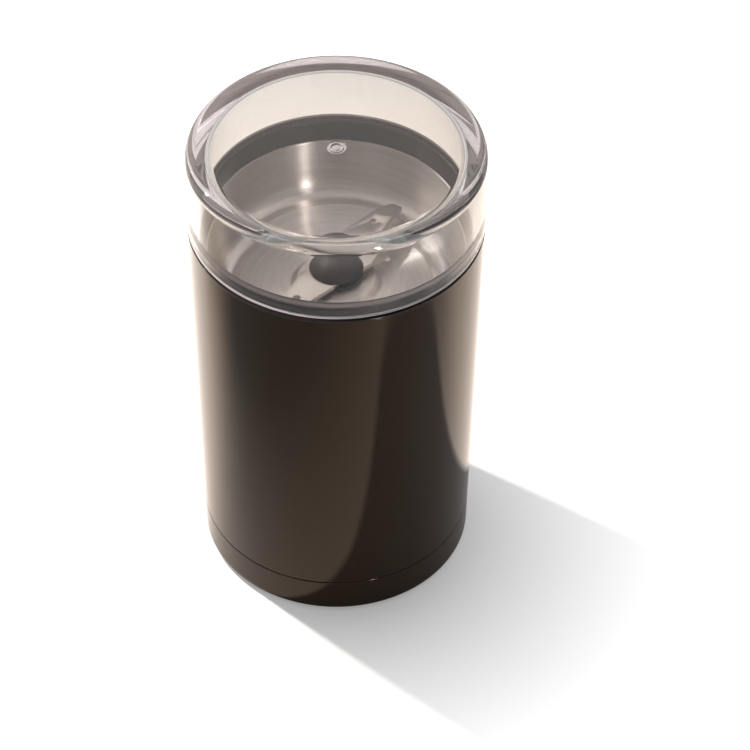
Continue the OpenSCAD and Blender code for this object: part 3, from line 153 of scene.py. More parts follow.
# %% Joining, cutting and moving
def settled(piece):
    """Turns a piece and its modifiers into one plain mesh."""
    depsgraph = bpy.context.evaluated_depsgraph_get()
    mesh = bpy.data.meshes.new_from_object(piece.evaluated_get(depsgraph))
    piece.modifiers.clear()
    piece.data = mesh
    mesh.shade_smooth()
    mesh.set_sharp_from_angle(angle=math.radians(SMOOTH_BELOW))
    return piece


def shaped(piece, other, operation):
    """Joins another solid to a piece, or cuts it away, and drops the other solid."""
    change = piece.modifiers.new("shape", "BOOLEAN")
    change.object, change.operation, change.solver = other, operation, "EXACT"
    settled(piece)
    bpy.data.objects.remove(other)


def moved(piece, matrix, z=0.0):
    """Lifts the mesh by z millimetres, then turns or moves it. The object stays at the origin."""
    piece.data.transform(matrix @ Matrix.Translation((0, 0, z / 1000)))
    return piece


def drum(name, radius, low, high, steps=48):
    """A plain cylinder on the Z axis."""
    return turned(name, [(0, low), (radius, low), (radius, high), (0, high)], steps)


def block(name, size, centre):
    """A plain box, in millimetres."""
    bm = bmesh.new()
    bmesh.ops.create_cube(bm, size=1.0, matrix=Matrix.Translation(Vector(centre) / 1000)
                          @ Matrix.Diagonal((*[s / 1000 for s in size], 1)))
    return new_piece(name, bm)


def report(piece):
    size = [round(1000 * d, 1) for d in piece.dimensions]
    print(f"{piece.name}: {len(piece.data.polygons)} faces, {size} mm")


# %% [markdown]
# ## Helpers for finishes
# A finish is a small network of shader nodes. One helper adds a node, sets what is constant and
# joins what is not. Patterns read Object coordinates, so they stay on the piece when it moves.
# Some finishes differ from place to place on a piece: a zone is a mask that is 1 inside a set of
# edges, and fades to 0 across each of them.

# %% Finish helpers
def add(tree, kind, inputs=None, **settings):
    node = tree.nodes.new(kind)
    for key, value in settings.items():
        setattr(node, key, value)
    for key, value in (inputs or {}).items():
        if isinstance(value, bpy.types.NodeSocket):
            tree.links.new(value, node.inputs[key])
        else:
            node.inputs[key].default_value = value
    return node


def new_finish(name):
    """An empty material, its tree and its Object coordinates."""
    finish = bpy.data.materials.new(name)
    finish.use_nodes = True
    finish.node_tree.nodes.clear()
    where = add(finish.node_tree, "ShaderNodeTexCoord").outputs["Object"]
    return finish, finish.node_tree, where


def maths(tree, operation, a, b=0.0):
    return add(tree, "ShaderNodeMath", {0: a, 1: b}, operation=operation).outputs[0]


def noise(tree, where, scale, detail=3.0):
    return add(tree, "ShaderNodeTexNoise",
               {"Vector": where, "Scale": scale, "Detail": detail}).outputs[0]


def span(tree, value, low, high, first=0.3, last=0.7, **settings):
    """Stretches a pattern's values to the range that a finish needs."""
    return add(tree, "ShaderNodeMapRange",
               {0: value, 1: first, 2: last, 3: low, 4: high}, **settings).outputs[0]


def split(tree, where):
    return add(tree, "ShaderNodeSeparateXYZ", {0: where}).outputs


def distance_out(tree, where):
    """Distance from the upright axis."""
    x, y = split(tree, where)[:2]
    flat = add(tree, "ShaderNodeCombineXYZ", {0: x, 1: y}).outputs[0]
    return add(tree, "ShaderNodeVectorMath", {0: flat}, operation="LENGTH").outputs["Value"]


BELOW, ABOVE = True, False


def zone(tree, *edges):
    """A mask. Each edge is a measure, the millimetres between which it fades, and the side kept."""
    whole = None
    for measure, low, high, below in edges:
        mask = span(tree, measure, float(below), float(not below), low / 1000, high / 1000)
        whole = mask if whole is None else maths(tree, "MULTIPLY", whole, mask)
    return whole


def tones(tree, value, dark, light):
    mix = add(tree, "ShaderNodeMix", data_type="RGBA")
    tree.links.new(value, mix.inputs["Factor"])
    mix.inputs["A"].default_value = (*dark, 1)
    mix.inputs["B"].default_value = (*light, 1)
    return mix.outputs["Result"]


def toned_down(tree, colour, *layers):
    """Multiplies a colour by other colours."""
    for layer in layers:
        mixed = add(tree, "ShaderNodeMix", data_type="RGBA", blend_type="MULTIPLY")
        mixed.inputs["Factor"].default_value = 1.0
        tree.links.new(colour, mixed.inputs["A"])
        tree.links.new(layer, mixed.inputs["B"])
        colour = mixed.outputs["Result"]
    return colour


def bumps(tree, height, strength, depth_mm):
    return add(tree, "ShaderNodeBump", {"Height": height, "Strength": strength,
                                        "Distance": depth_mm / 1000}).outputs[0]


def put_on(tree, surface):
    add(tree, "ShaderNodeOutputMaterial", {"Surface": surface})


def shader(tree, **inputs):
    names = {"colour": "Base Color", "rough": "Roughness", "metal": "Metallic", "normal": "Normal",
             "specular": "Specular IOR Level", "ior": "IOR", "clear": "Transmission Weight",
             "stretch": "Anisotropic", "quarter": "Anisotropic Rotation", "tangent": "Tangent",
             "tint": "Specular Tint"}
    return add(tree, "ShaderNodeBsdfPrincipled",
               {names[k]: v for k, v in inputs.items()}).outputs[0]


# %% [markdown]
# ## Plastics and rubber
# Moulded plastic shows a faint cloudiness in its colour, a grain from the tool and a gloss that
# isn't quite even. One recipe makes them all, from two tones, a roughness and the grain's size.

# %% Moulded plastics
CLOUD_SCALE, GLOSS_SPREAD, GRAIN_STRENGTH = 60.0, 0.04, 0.4


def moulded(name, dark, light, rough, grain=900.0, depth=0.004, specular=0.5):
    finish, tree, where = new_finish(name)
    cloud = noise(tree, where, CLOUD_SCALE)
    fine = noise(tree, where, grain, 4.0)
    put_on(tree, shader(tree, colour=tones(tree, cloud, dark, light),
                        rough=span(tree, fine, rough - GLOSS_SPREAD, rough + GLOSS_SPREAD),
                        specular=specular, normal=bumps(tree, fine, GRAIN_STRENGTH, depth)))
    return finish


FINISHES = {slot: moulded(*recipe) for slot, recipe in {
    "charcoal_plastic": ("charcoal plastic", (0.020, 0.014, 0.013), (0.028, 0.020, 0.019), 0.14),
    "hub_plastic": ("hub plastic", (0.026, 0.020, 0.020), (0.037, 0.029, 0.028), 0.46),
    "white_plastic": ("white plastic", (0.62, 0.62, 0.60), (0.70, 0.70, 0.68), 0.45),
    "black_plastic": ("black plastic", (0.012, 0.012, 0.014), (0.020, 0.020, 0.022), 0.4),
    "phenolic": ("phenolic", (0.022, 0.014, 0.010), (0.036, 0.024, 0.018), 0.5, 500.0),
    "red_plastic": ("red plastic", (0.42, 0.02, 0.015), (0.50, 0.03, 0.02), 0.4),
    "yellow_plastic": ("yellow plastic", (0.62, 0.42, 0.03), (0.70, 0.50, 0.05), 0.4),
    "black_rubber": ("black rubber", (0.010, 0.010, 0.010), (0.018, 0.018, 0.017), 0.75,
                     1400.0, 0.03, 0.3),
    "brown_insulation": ("brown insulation", (0.12, 0.045, 0.015), (0.16, 0.06, 0.02), 0.45),
    "black_insulation": ("black insulation", (0.010, 0.010, 0.010), (0.016, 0.016, 0.016), 0.45),
    "blue_insulation": ("blue insulation", (0.01, 0.06, 0.30), (0.02, 0.08, 0.36), 0.45),
    "red_insulation": ("red insulation", (0.40, 0.02, 0.015), (0.48, 0.03, 0.02), 0.45),
    "carbon": ("carbon", (0.012, 0.012, 0.013), (0.030, 0.030, 0.032), 0.6, 2200.0, 0.02),
}.items()}
print("plastics and rubbers:", len(FINISHES))

# %% [markdown]
# ## Turned and spun metals
# A turned or spun metal is scratched along the way that the tool went, round the axis. Its pattern
# is read in distance from the axis and in height, which change fast, and in the place round the
# turn, which changes slowly and has no seam. The scratches spread a highlight across themselves,
# so light that comes from one side draws a bright streak from the rim to the middle.
#
# The bowl's wall is painted darker than its floor, a painted shade for the dimmer light that it
# reflects, and the rounding between them is polished the most. It draws the bright line where the wall
# ends.

# %% Turned and spun metals
SLOW_ROUND, BROADER_LINES, SCRATCH_STRENGTH = 2.0, 2.5, 0.6
# The wall's tone is painted shade; the rounding's polish only lowers its roughness.
PAINTED_WALL_SHADE, ROUNDING_POLISH = (0.72, 0.71, 0.70), 0.5


def ring_noise(tree, where, across, detail):
    """Noise that changes fast outwards and upwards, and slowly round the axis."""
    x, y, up = split(tree, where)
    out = distance_out(tree, where)
    away = maths(tree, "MAXIMUM", out, 1e-5)
    fast = [maths(tree, "MULTIPLY", measure, across) for measure in (out, up)]
    slow = [maths(tree, "MULTIPLY", maths(tree, "DIVIDE", side, away), SLOW_ROUND) for side in (x, y)]
    way = add(tree, "ShaderNodeCombineXYZ", {0: fast[0], 1: fast[1], 2: slow[0]}).outputs[0]
    return add(tree, "ShaderNodeTexNoise", {"Vector": way, "W": slow[1], "Scale": 1.0, "Detail": detail},
               noise_dimensions="4D").outputs[0]


def bowl_zones(tree, where):
    """The bowl's wall, and the rounding between wall and floor."""
    out = distance_out(tree, where)
    return (zone(tree, (out, 34.0, 36.5, ABOVE)),
            zone(tree, (out, 33.5, 35.5, BELOW), (out, 28.5, 30.5, ABOVE)))


def scratched(name, dark, light, rough, across=2500.0, depth=0.002, zones=None):
    finish, tree, where = new_finish(name)
    fine = ring_noise(tree, where, across, 3.0)
    lines = ring_noise(tree, where, across / BROADER_LINES, 4.0)
    round_axis = add(tree, "ShaderNodeVectorMath", {0: (0, 0, 1), 1: where},
                     operation="CROSS_PRODUCT").outputs[0]
    colour = tones(tree, span(tree, lines, 0.0, 1.0, 0.35, 0.65), dark, light)
    rough = span(tree, fine, rough - GLOSS_SPREAD, rough + GLOSS_SPREAD)
    if zones:
        wall, rounding = zones(tree, where)
        # The wall's colour is toned down here: painted shade for the dimmer light on the wall.
        colour = toned_down(tree, colour, tones(tree, wall, (1, 1, 1), PAINTED_WALL_SHADE))
        rough = maths(tree, "MULTIPLY", rough, span(tree, rounding, 1.0, ROUNDING_POLISH, 0.0, 1.0))
    put_on(tree, shader(tree, colour=colour, metal=1.0, rough=rough, stretch=1.0, quarter=0.25,
                        tangent=round_axis, normal=bumps(tree, lines, SCRATCH_STRENGTH, depth)))
    return finish


FINISHES.update({
    "bowl_steel": scratched("spun steel", (0.84, 0.79, 0.75), (0.95, 0.90, 0.86), 0.34,
                            depth=0.0012, zones=bowl_zones),
    "screw_steel": scratched("screw steel", (0.42, 0.42, 0.44), (0.55, 0.55, 0.57), 0.35, 900.0),
    "shaft_steel": scratched("shaft steel", (0.50, 0.50, 0.52), (0.62, 0.62, 0.64), 0.22),
    "bar_copper": scratched("bar copper", (0.62, 0.27, 0.13), (0.80, 0.40, 0.22), 0.25),
})
print("finishes so far:", len(FINISHES))

# %% [markdown]
# ## Rolled, ground and cast metals
# Sheet metal has its grain along one direction, so its noise is stretched that way. The blade is
# ground across its wings, and its grain turns with it. A cast or sintered metal has the same
# scale every way, and is rougher.

# %% Rolled, ground and cast metals
BLADE_TURN = math.radians(51.3)
BROAD_SCALE = 150.0


def rolled(name, dark, light, rough, depth=0.001, way=(3000.0, 120.0, 3000.0), angle=0.0):
    finish, tree, where = new_finish(name)
    grain = add(tree, "ShaderNodeMapping", {"Vector": where, "Rotation": (0, 0, angle), "Scale": way})
    fine = noise(tree, grain.outputs[0], 1.0, 4.0)
    broad = noise(tree, where, BROAD_SCALE)
    put_on(tree, shader(tree, colour=tones(tree, broad, dark, light), metal=1.0,
                        rough=span(tree, fine, rough - 0.03, rough + 0.04),
                        normal=bumps(tree, fine, GRAIN_STRENGTH, depth)))
    return finish


FINISHES.update({
    "blade_steel": rolled("ground steel", (0.76, 0.71, 0.665), (0.81, 0.76, 0.71), 0.32, 0.0006,
                          way=(200.0, 2500.0, 2500.0), angle=-BLADE_TURN),
    "brass": rolled("brass", (0.60, 0.43, 0.16), (0.72, 0.54, 0.24), 0.32),
    "bronze": rolled("sintered bronze", (0.36, 0.20, 0.08), (0.50, 0.31, 0.14), 0.5, 0.02,
                     (1500.0,) * 3),
    "cast_alloy": rolled("cast alloy", (0.42, 0.42, 0.44), (0.52, 0.52, 0.54), 0.5, 0.03,
                         (700.0,) * 3),
})
print("finishes so far:", len(FINISHES))

# %% [markdown]
# ## Laminations and windings
# The motor's cores are stacks of half-millimetre sheets, and its coils are hundreds of turns of
# enamelled wire. Both show as fine lines: level ones on the stacks, and lines that wander a little
# on the coils. A wave pattern on the height, or across it, gives each its lines.

# %% Lined metals
def lined(name, dark, light, rough, pitch_mm, along, depth, wander=0.0):
    finish, tree, where = new_finish(name)
    lines = add(tree, "ShaderNodeTexWave",
                {"Vector": where, "Scale": 1000.0 * math.pi / (10 * pitch_mm), "Distortion": wander},
                wave_type="BANDS", bands_direction=along).outputs[1]
    broad = noise(tree, where, 90.0)
    both = maths(tree, "MULTIPLY", lines, broad)
    put_on(tree, shader(tree, colour=tones(tree, both, dark, light), metal=1.0,
                        rough=span(tree, broad, rough - 0.05, rough + 0.08),
                        normal=bumps(tree, lines, 0.5, depth)))
    return finish


FINISHES["lamination_steel"] = lined("laminations", (0.22, 0.22, 0.24), (0.52, 0.52, 0.55), 0.42,
                                     0.5, "Z", 0.05)
FINISHES["copper"] = lined("enamelled wire", (0.22, 0.06, 0.02), (0.72, 0.30, 0.12), 0.3,
                           0.45, "DIAGONAL", 0.08, 0.6)
print("finishes so far:", len(FINISHES))

# %% [markdown]
# ## The lacquered body
# The body is painted metal: almost black-brown, with a clear, glossy coat that mirrors the floor
# and turns pale towards the sides. The gloss is what shows, so the colour is very dark, the
# surface is almost smooth, and only a trace of ripple is left from the spray.

# %% Body lacquer
def body_lacquer():
    finish, tree, where = new_finish("brown lacquer")
    cloud = noise(tree, where, 25.0)
    ripple = noise(tree, where, 350.0, 2.0)
    colour = tones(tree, cloud, (0.016, 0.0080, 0.0030), (0.020, 0.0100, 0.0040))
    put_on(tree, shader(tree, colour=colour, rough=span(tree, ripple, 0.05, 0.10), specular=0.5,
                        tint=(1.0, 0.72, 0.50, 1), normal=bumps(tree, ripple, 0.05, 0.01)))
    return finish


FINISHES["body_finish"] = body_lacquer()
print("finishes so far:", len(FINISHES))

# %% [markdown]
# ## The clear lid
# The lid is injection-moulded clear plastic, so light bends at each face. A glass-like shader
# does this by itself if the mesh is closed and its walls have their true thickness. A trace of
# unevenness in the surface keeps it from looking like cut crystal. Four places aren't quite clear:
#
# - the foot's edge is opaque and pale grey, a painted highlight that stands in for the bright line of
#   light along the lid's lower edge
# - the shelf over the collar's lip is opaque and painted dark, a painted shade that stands in for the
#   charcoal lip showing through it
# - the mark in the middle, where the mould was filled, is a little milky
# - the thick corner has a trace of haze, which evens out the light that is caught in it

# %% Clear plastic
LID_Z, LID_TOP_Z, SHELF_Z, SHELF_R = 130.85, 158.2, 134.5, 42.8
CLEAR_TONES = (0.962, 0.940, 0.930), (0.972, 0.950, 0.940)
# The first tone darkens every milky place: the hazy mark and corner, the painted highlight at the foot
# and the painted shade at the shelf.
HAZE_AND_PAINTED_EDGE_TONE, PAINTED_SHELF_SHADE = (0.40, 0.40, 0.44), (0.22, 0.19, 0.18)
MARK_HAZE, CORNER_HAZE, FROST = 0.4, 0.08, 0.5


def clear_plastic():
    finish, tree, where = new_finish("clear plastic")
    flow = noise(tree, where, 70.0, 1.0)
    up, out = split(tree, where)[2], distance_out(tree, where)
    # The foot's pale, opaque edge is a painted highlight for the line of light along the lid's lower
    # edge.
    foot = zone(tree, (up, LID_Z + 0.1, LID_Z + 0.25, BELOW), (out, 42.4, 42.6, ABOVE))
    off_shelf = maths(tree, "ABSOLUTE", maths(tree, "SUBTRACT", up, SHELF_Z / 1000))
    # The shelf's dark band is painted shade, standing in for the charcoal lip seen through the clear
    # wall.
    painted_dark_shelf = zone(tree, (off_shelf, 0.45, 0.55, BELOW), (out, SHELF_R, SHELF_R + 0.2, BELOW))
    mark = zone(tree, (out, 2.8, 3.1, BELOW), (up, LID_TOP_Z - 1.2, LID_TOP_Z - 0.7, ABOVE))
    corner = zone(tree, (out, 38.5, 40.0, ABOVE), (up, 150.0, 153.0, ABOVE))
    haze_and_painted_bands = maths(tree, "MAXIMUM", foot, painted_dark_shelf)
    for place, haze in ((mark, MARK_HAZE), (corner, CORNER_HAZE)):
        haze_and_painted_bands = maths(tree, "MAXIMUM", haze_and_painted_bands, maths(tree, "MULTIPLY", place, haze))
    colour = toned_down(tree, tones(tree, flow, *CLEAR_TONES), tones(tree, haze_and_painted_bands, (1, 1, 1), HAZE_AND_PAINTED_EDGE_TONE),
                        tones(tree, painted_dark_shelf, (1, 1, 1), PAINTED_SHELF_SHADE))
    put_on(tree, shader(tree, colour=colour, rough=span(tree, haze_and_painted_bands, 0.0, FROST, 0.1, 1.0), ior=1.53,
                        clear=maths(tree, "SUBTRACT", 1.0, haze_and_painted_bands), normal=bumps(tree, flow, 0.02, 0.01)))
    return finish


FINISHES["clear_plastic"] = clear_plastic()
print("all finishes:", len(FINISHES))

# %% [markdown]
# ## Every solid gets its finish
# Each solid from the CAD frame says what it is made of, in the name of its material. The finish of
# that name takes its place, also on pieces inside the body, which show when it is taken apart.

# %% Give every CAD node its finish
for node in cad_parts.values():
    slot = node.data.materials[0].name.split(".")[0]
    node.data.materials[0] = FINISHES[slot]
print("dressed nodes:", len(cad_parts))

# %% [markdown]
# ## Handing a piece over
# A skin that is made here rides on its moving body, gets its finish, and hides the solids that it stands
# for.

# %% Handing a piece over
def hand_over(piece, body, slot, *nodes):
    """Gives a piece its finish and its body, and hides the CAD nodes that it stands for."""
    piece.data.materials.clear()
    piece.data.materials.append(FINISHES[slot])
    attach(piece, body)
    if nodes:
        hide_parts(*nodes)
    report(piece)


# %% [markdown]
# ## Body shell
# The shell is a thin metal tube that narrows a little towards its foot. It is turned with a small
# rounding on both rims, where the lacquer thins and catches the light.

# %% Body shell
SEAM_Z, SHELL_Z, SHELL_TOP_Z = 13.45, 13.6, 129.2
SHELL_BOTTOM_R, SHELL_TOP_R, SHELL_WALL = 42.75, 44.8, 2.0
shell = turned("body_shell_skin", rounded([
    (SHELL_BOTTOM_R - SHELL_WALL, SHELL_Z, 0.2), (SHELL_BOTTOM_R, SHELL_Z, 0.3),
    (SHELL_TOP_R, SHELL_TOP_Z, 0.15), (SHELL_TOP_R - SHELL_WALL, SHELL_TOP_Z, 0.15)]))
hand_over(shell, "housing", "body_finish", "body_shell")

# %% [markdown]
# ## A rule for pieces that repeat
# Cooling slots, towers and feet repeat by a rule, so Geometry Nodes lay them out: a count, a pitch
# and a radius place the copies on an arc, and each one turns to face outwards.

# %% A fan of equal pieces
def fan_tree():
    """A tree that sets copies of a pattern piece on an arc about the Z axis, facing outwards."""
    tree = bpy.data.node_groups.new("Fan of pieces", "GeometryNodeTree")
    face = tree.interface
    for name, kind, value in (
            ("Count", "NodeSocketInt", 4), ("Pitch", "NodeSocketFloat", 0.5),
            ("Facing", "NodeSocketFloat", 0.0), ("Radius", "NodeSocketFloat", 0.03),
            ("Pattern", "NodeSocketObject", None), ("Finish", "NodeSocketMaterial", None)):
        socket = face.new_socket(name, in_out="INPUT", socket_type=kind)
        if value is not None:
            socket.default_value = value
    face.new_socket("Geometry", in_out="OUTPUT", socket_type="NodeSocketGeometry")
    given = add(tree, "NodeGroupInput").outputs
    index = add(tree, "GeometryNodeInputIndex").outputs[0]
    middle = maths(tree, "MULTIPLY", maths(tree, "SUBTRACT", given["Count"], 1.0), 0.5)
    turn = maths(tree, "ADD", given["Facing"],
                 maths(tree, "MULTIPLY", maths(tree, "SUBTRACT", index, middle), given["Pitch"]))
    place = add(tree, "ShaderNodeCombineXYZ", {
        0: maths(tree, "MULTIPLY", maths(tree, "COSINE", turn), given["Radius"]),
        1: maths(tree, "MULTIPLY", maths(tree, "SINE", turn), given["Radius"])}).outputs[0]
    points = add(tree, "GeometryNodePoints", {"Count": given["Count"], "Position": place}).outputs[0]
    pattern = add(tree, "GeometryNodeObjectInfo", {"Object": given["Pattern"]}).outputs["Geometry"]
    outwards = add(tree, "FunctionNodeAlignRotationToVector",
                   {"Vector": add(tree, "GeometryNodeInputPosition").outputs[0]}, axis="X").outputs[0]
    copies = add(tree, "GeometryNodeInstanceOnPoints",
                 {"Points": points, "Instance": pattern, "Rotation": outwards}).outputs[0]
    real = add(tree, "GeometryNodeRealizeInstances", {0: copies}).outputs[0]
    dressed = add(tree, "GeometryNodeSetMaterial",
                  {"Geometry": real, "Material": given["Finish"]}).outputs[0]
    add(tree, "NodeGroupOutput", {0: dressed})
    return tree


FAN = fan_tree()


def fan_of(name, pattern, slot, count, pitch, facing, radius):
    """Runs the tree, in degrees and millimetres, and keeps its result as one plain mesh."""
    piece = bpy.data.objects.new(name, bpy.data.meshes.new(name))
    bpy.context.scene.collection.objects.link(piece)
    rule = piece.modifiers.new("fan", "NODES")
    rule.node_group = FAN
    values = {"Count": count, "Pitch": math.radians(pitch), "Facing": math.radians(facing),
              "Radius": radius / 1000, "Pattern": pattern, "Finish": FINISHES[slot]}
    for socket in FAN.interface.items_tree:
        if socket.name in values:
            rule[socket.identifier] = values[socket.name]
    settled(piece)
    bpy.data.objects.remove(pattern)
    return piece


print("nodes in the rule:", len(FAN.nodes))

# %% [markdown]
# ## Base cover
# The base is one moulding: a ring that carries the body's line down to a rounded edge, a spigot
# that stands up inside the shell, a floor with cooling slots, and towers for the screws. The ring
# is turned first.

# %% Base ring with its floor
BASE_Z, BASE_FLOOR_Z, BASE_R, BASE_INNER_R = 0.6, 3.2, 42.6, 40.2
SPIGOT_R, SPIGOT_TOP_Z = 40.55, 16.45
base = turned("base_skin", rounded([
    (0, BASE_Z), (BASE_R, BASE_Z, 2.2), (SHELL_BOTTOM_R, SEAM_Z, 0.25), (SPIGOT_R, SEAM_Z, 0.1),
    (SPIGOT_R, SPIGOT_TOP_Z, 0.4), (SPIGOT_R - 2, SPIGOT_TOP_Z, 0.2), (SPIGOT_R - 2, SEAM_Z - 2),
    (BASE_INNER_R, SEAM_Z - 3.65), (BASE_INNER_R, BASE_FLOOR_Z, 0.6), (0, BASE_FLOOR_Z)]))
report(base)

# %% [markdown]
# ## Towers, bores and recesses
# Four towers stand on the floor, two in front and two behind, and a pad stiffens the wall where
# the cord comes in. Each tower is bored for a screw, wide below for its head and narrow above. Four
# shallow recesses hold the feet.

# %% Towers, bores and recesses
TOWER_R, TOWER_TOP_Z, TOWER_SEAT_Z, SCREW_HEAD_R, SCREW_R = 4.6, 22.8, 14.8, 3.5, 1.75
TOWER_PITCH, TOWER_PLACE_R = 50, 35.0
RECESS_R, RECESS_DEPTH, FOOT_PLACE_R = 5.1, 1.2, 31.0
OVERLAP, PAST = 1.0, 0.5
for facing in (90, 270):
    tower = drum("tower", TOWER_R, BASE_FLOOR_Z - OVERLAP, TOWER_TOP_Z)
    shaped(base, fan_of("towers", tower, "body_finish", 2, TOWER_PITCH, facing, TOWER_PLACE_R), "UNION")
shaped(base, block("pad", (14, 1.5, 9.6), (0, 40.2, 6.9)), "UNION")
for facing in (90, 270):
    for radius, top in ((SCREW_HEAD_R, TOWER_SEAT_Z), (SCREW_R, TOWER_TOP_Z + PAST)):
        bore = drum("bore", radius, BASE_Z - PAST, top)
        bores = fan_of("bores", bore, "body_finish", 2, TOWER_PITCH, facing, TOWER_PLACE_R)
        shaped(base, bores, "DIFFERENCE")
recess = drum("recess", RECESS_R, BASE_Z - PAST, BASE_Z + RECESS_DEPTH)
shaped(base, fan_of("recesses", recess, "body_finish", 4, 90, 0, FOOT_PLACE_R), "DIFFERENCE")
report(base)

# %% [markdown]
# ## Cooling slots
# Air is drawn in through slots with round ends: a full ring of them in the middle of the floor, and
# three short fans further out, between the feet.

# %% Cooling slots
SLOT_HALF, SLOT_R = 3.6, 0.9
GRILLES = ((18, 20, 0, 14.0), (5, 6, 0, 31.5), (5, 6, 180, 31.5), (5, 6, 270, 31.5))


def slot_cutter():
    """A slot with round ends."""
    ends = [Vector((SLOT_HALF * side + SLOT_R * math.cos(a), SLOT_R * math.sin(a), 0)) / 1000
            for side, start in ((1, -90), (-1, 90))
            for a in [math.radians(start + 180 * k / 8) for k in range(9)]]
    bm = bmesh.new()
    low = [bm.verts.new(p + Vector((0, 0, (BASE_Z - PAST) / 1000))) for p in ends]
    top = bmesh.ops.extrude_face_region(bm, geom=[bm.faces.new(low)])["geom"]
    rise = Vector((0, 0, (BASE_FLOOR_Z - BASE_Z + 2 * PAST) / 1000))
    bmesh.ops.translate(bm, vec=rise, verts=[v for v in top if isinstance(v, bmesh.types.BMVert)])
    bmesh.ops.recalc_face_normals(bm, faces=bm.faces)
    return new_piece("slot", bm)


for grille in GRILLES:
    shaped(base, fan_of("slots", slot_cutter(), "body_finish", *grille), "DIFFERENCE")
print("slots:", sum(grille[0] for grille in GRILLES))

# %% [markdown]
# ## Cord gland and feet
# The supply cord itself isn't part of this model, so the base keeps only the rubber gland that it
# would pass through. The gland is turned lying down, in an opening that grips its neck. The four
# feet are one rubber button, rounded where it meets the table, and the same rule places them.

# %% Gland and feet
GLAND_Z, NECK_R, RING_R = 7.225, 4.4, 5.3
LYING = Matrix.Translation((0, 0, GLAND_Z / 1000)) @ Matrix.Rotation(-math.pi / 2, 4, "X")
for name, radius, low, high in (("neck cutter", NECK_R, 37.0, 44.0),
                                ("inner cutter", RING_R, 37.0, 39.4),
                                ("outer cutter", RING_R, 41.9, 44.8)):
    shaped(base, moved(drum(name, radius, low, high), LYING), "DIFFERENCE")
hand_over(base, "housing", "body_finish", "base_cover")
gland = turned("cord_gland_skin", rounded([
    (3.2, 37.9, 0.3), (5.2, 37.9, 0.3), (5.2, 39.3, 0.3), (4.3, 39.3), (4.3, 42.0), (5.2, 42.0, 0.2),
    (5.2, 43.4, 0.5), (3.2, 43.4, 0.5)]), 96)
hand_over(moved(gland, LYING), "housing", "black_rubber", "cord_gland")
foot = turned("foot", rounded([(0, 0), (5.0, 0, 0.5), (5.0, 1.8, 0.2), (0, 1.8)]), 64)
feet = fan_of("feet", foot, "black_rubber", 4, 90, 0, FOOT_PLACE_R)
hand_over(feet, "housing", "black_rubber", "rubber_feet")

# %% [markdown]
# ## Collar
# The charcoal collar closes the top of the body. Its thin flange is the dark line under the lid,
# and its lip stands up inside the lid, where it shows through the clear wall. Two slots let the
# lid's tabs through to the push rods, and four hooks hold the collar in the frame below.

# %% Collar
FLANGE_Z, LIP_Z, RIM_Z, SEAT_Z = 130.0, 133.4, 126.6, 124.8
TAB_SLOT_SWEEP, HOOK_SWEEP, HOOK_PLACES = 17.8, 12, (45, 135, 225, 315)
collar = turned("collar_skin", rounded([
    (38.0, RIM_Z, 0.2), (39.4, RIM_Z), (39.4, SEAT_Z), (42.5, SEAT_Z), (42.5, SHELL_TOP_Z),
    (45.0, SHELL_TOP_Z, 0.3), (45.0, FLANGE_Z, 0.3), (42.4, FLANGE_Z, 0.1), (42.4, LIP_Z, 0.5),
    (39.0, LIP_Z, 0.5)]))
for side in (0, 180):
    slot = turned("tab slot", [(39.95, SEAT_Z - PAST), (43.2, SEAT_Z - PAST), (43.2, LIP_Z + PAST),
                               (39.95, LIP_Z + PAST)], 24, TAB_SLOT_SWEEP, side)
    shaped(collar, slot, "DIFFERENCE")
for place in HOOK_PLACES:
    hook = turned("hook", [(39.65, SEAT_Z + PAST), (39.65, 115.5), (40.65, 115.5), (41.75, 116.9),
                           (41.75, 118.3), (40.85, 118.3), (40.85, SEAT_Z + PAST)],
                  12, HOOK_SWEEP, place)
    shaped(collar, hook, "UNION")
hand_over(collar, "housing", "charcoal_plastic", "collar")

# %% [markdown]
# ## Bowl
# The bowl is spun from sheet steel: a turned-out rim that sits on a gasket, a wall, a rounding and
# a floor with a raised boss for the shaft. Its wall is one constant thickness, so the outline is
# the inner line and the same line moved outwards.

# %% Bowl
RIM_R, BOWL_R, RIM_ROUND, BOWL_T = 39.3, 37.6, 0.35, 0.6
ROUNDING, ROUNDING_R = (30.3, 114.5), 6.5
BOSS_FOOT, BOSS_EDGE, BOSS_ROUND, BOSS_Z, BOSS_HOLE_R = (13.8, 109.25), (11.3, 109.25), 1.25, 110.5, 5.0


def bowl_line(t):
    """The bowl's inner line moved outwards by t, from the rim to the hole."""
    return ([(RIM_R, RIM_Z - t), (BOWL_R + t + RIM_ROUND, RIM_Z - t)]
            + arc((BOWL_R + RIM_ROUND, RIM_Z - RIM_ROUND), max(RIM_ROUND - t, 0.01), 90, 180, 4)[1:]
            + arc(ROUNDING, ROUNDING_R + t, 0, -90, 14)
            + arc(BOSS_FOOT, BOSS_ROUND + t, -90, -180, 6) + arc(BOSS_EDGE, BOSS_ROUND - t, 0, 90, 6)
            + [(BOSS_HOLE_R, BOSS_Z - t)])


bowl = turned("bowl_skin", bowl_line(0) + bowl_line(BOWL_T)[::-1])
hand_over(bowl, "housing", "bowl_steel", "bowl")

# %% [markdown]
# ## Lid
# The lid's wall is thick at the top and thinner below, with a shelf that clears the collar's lip and
# a skirt that passes outside it. Light runs through the thick corner in bands, so the outline
# follows the real section with its roundings. The small ring in the middle of the top is where the
# mould was filled, and two tabs reach down to press the rods. The lid throws no shadow here,
# because the renderer would stop the lamps' light at its clear wall and leave the bowl dark.

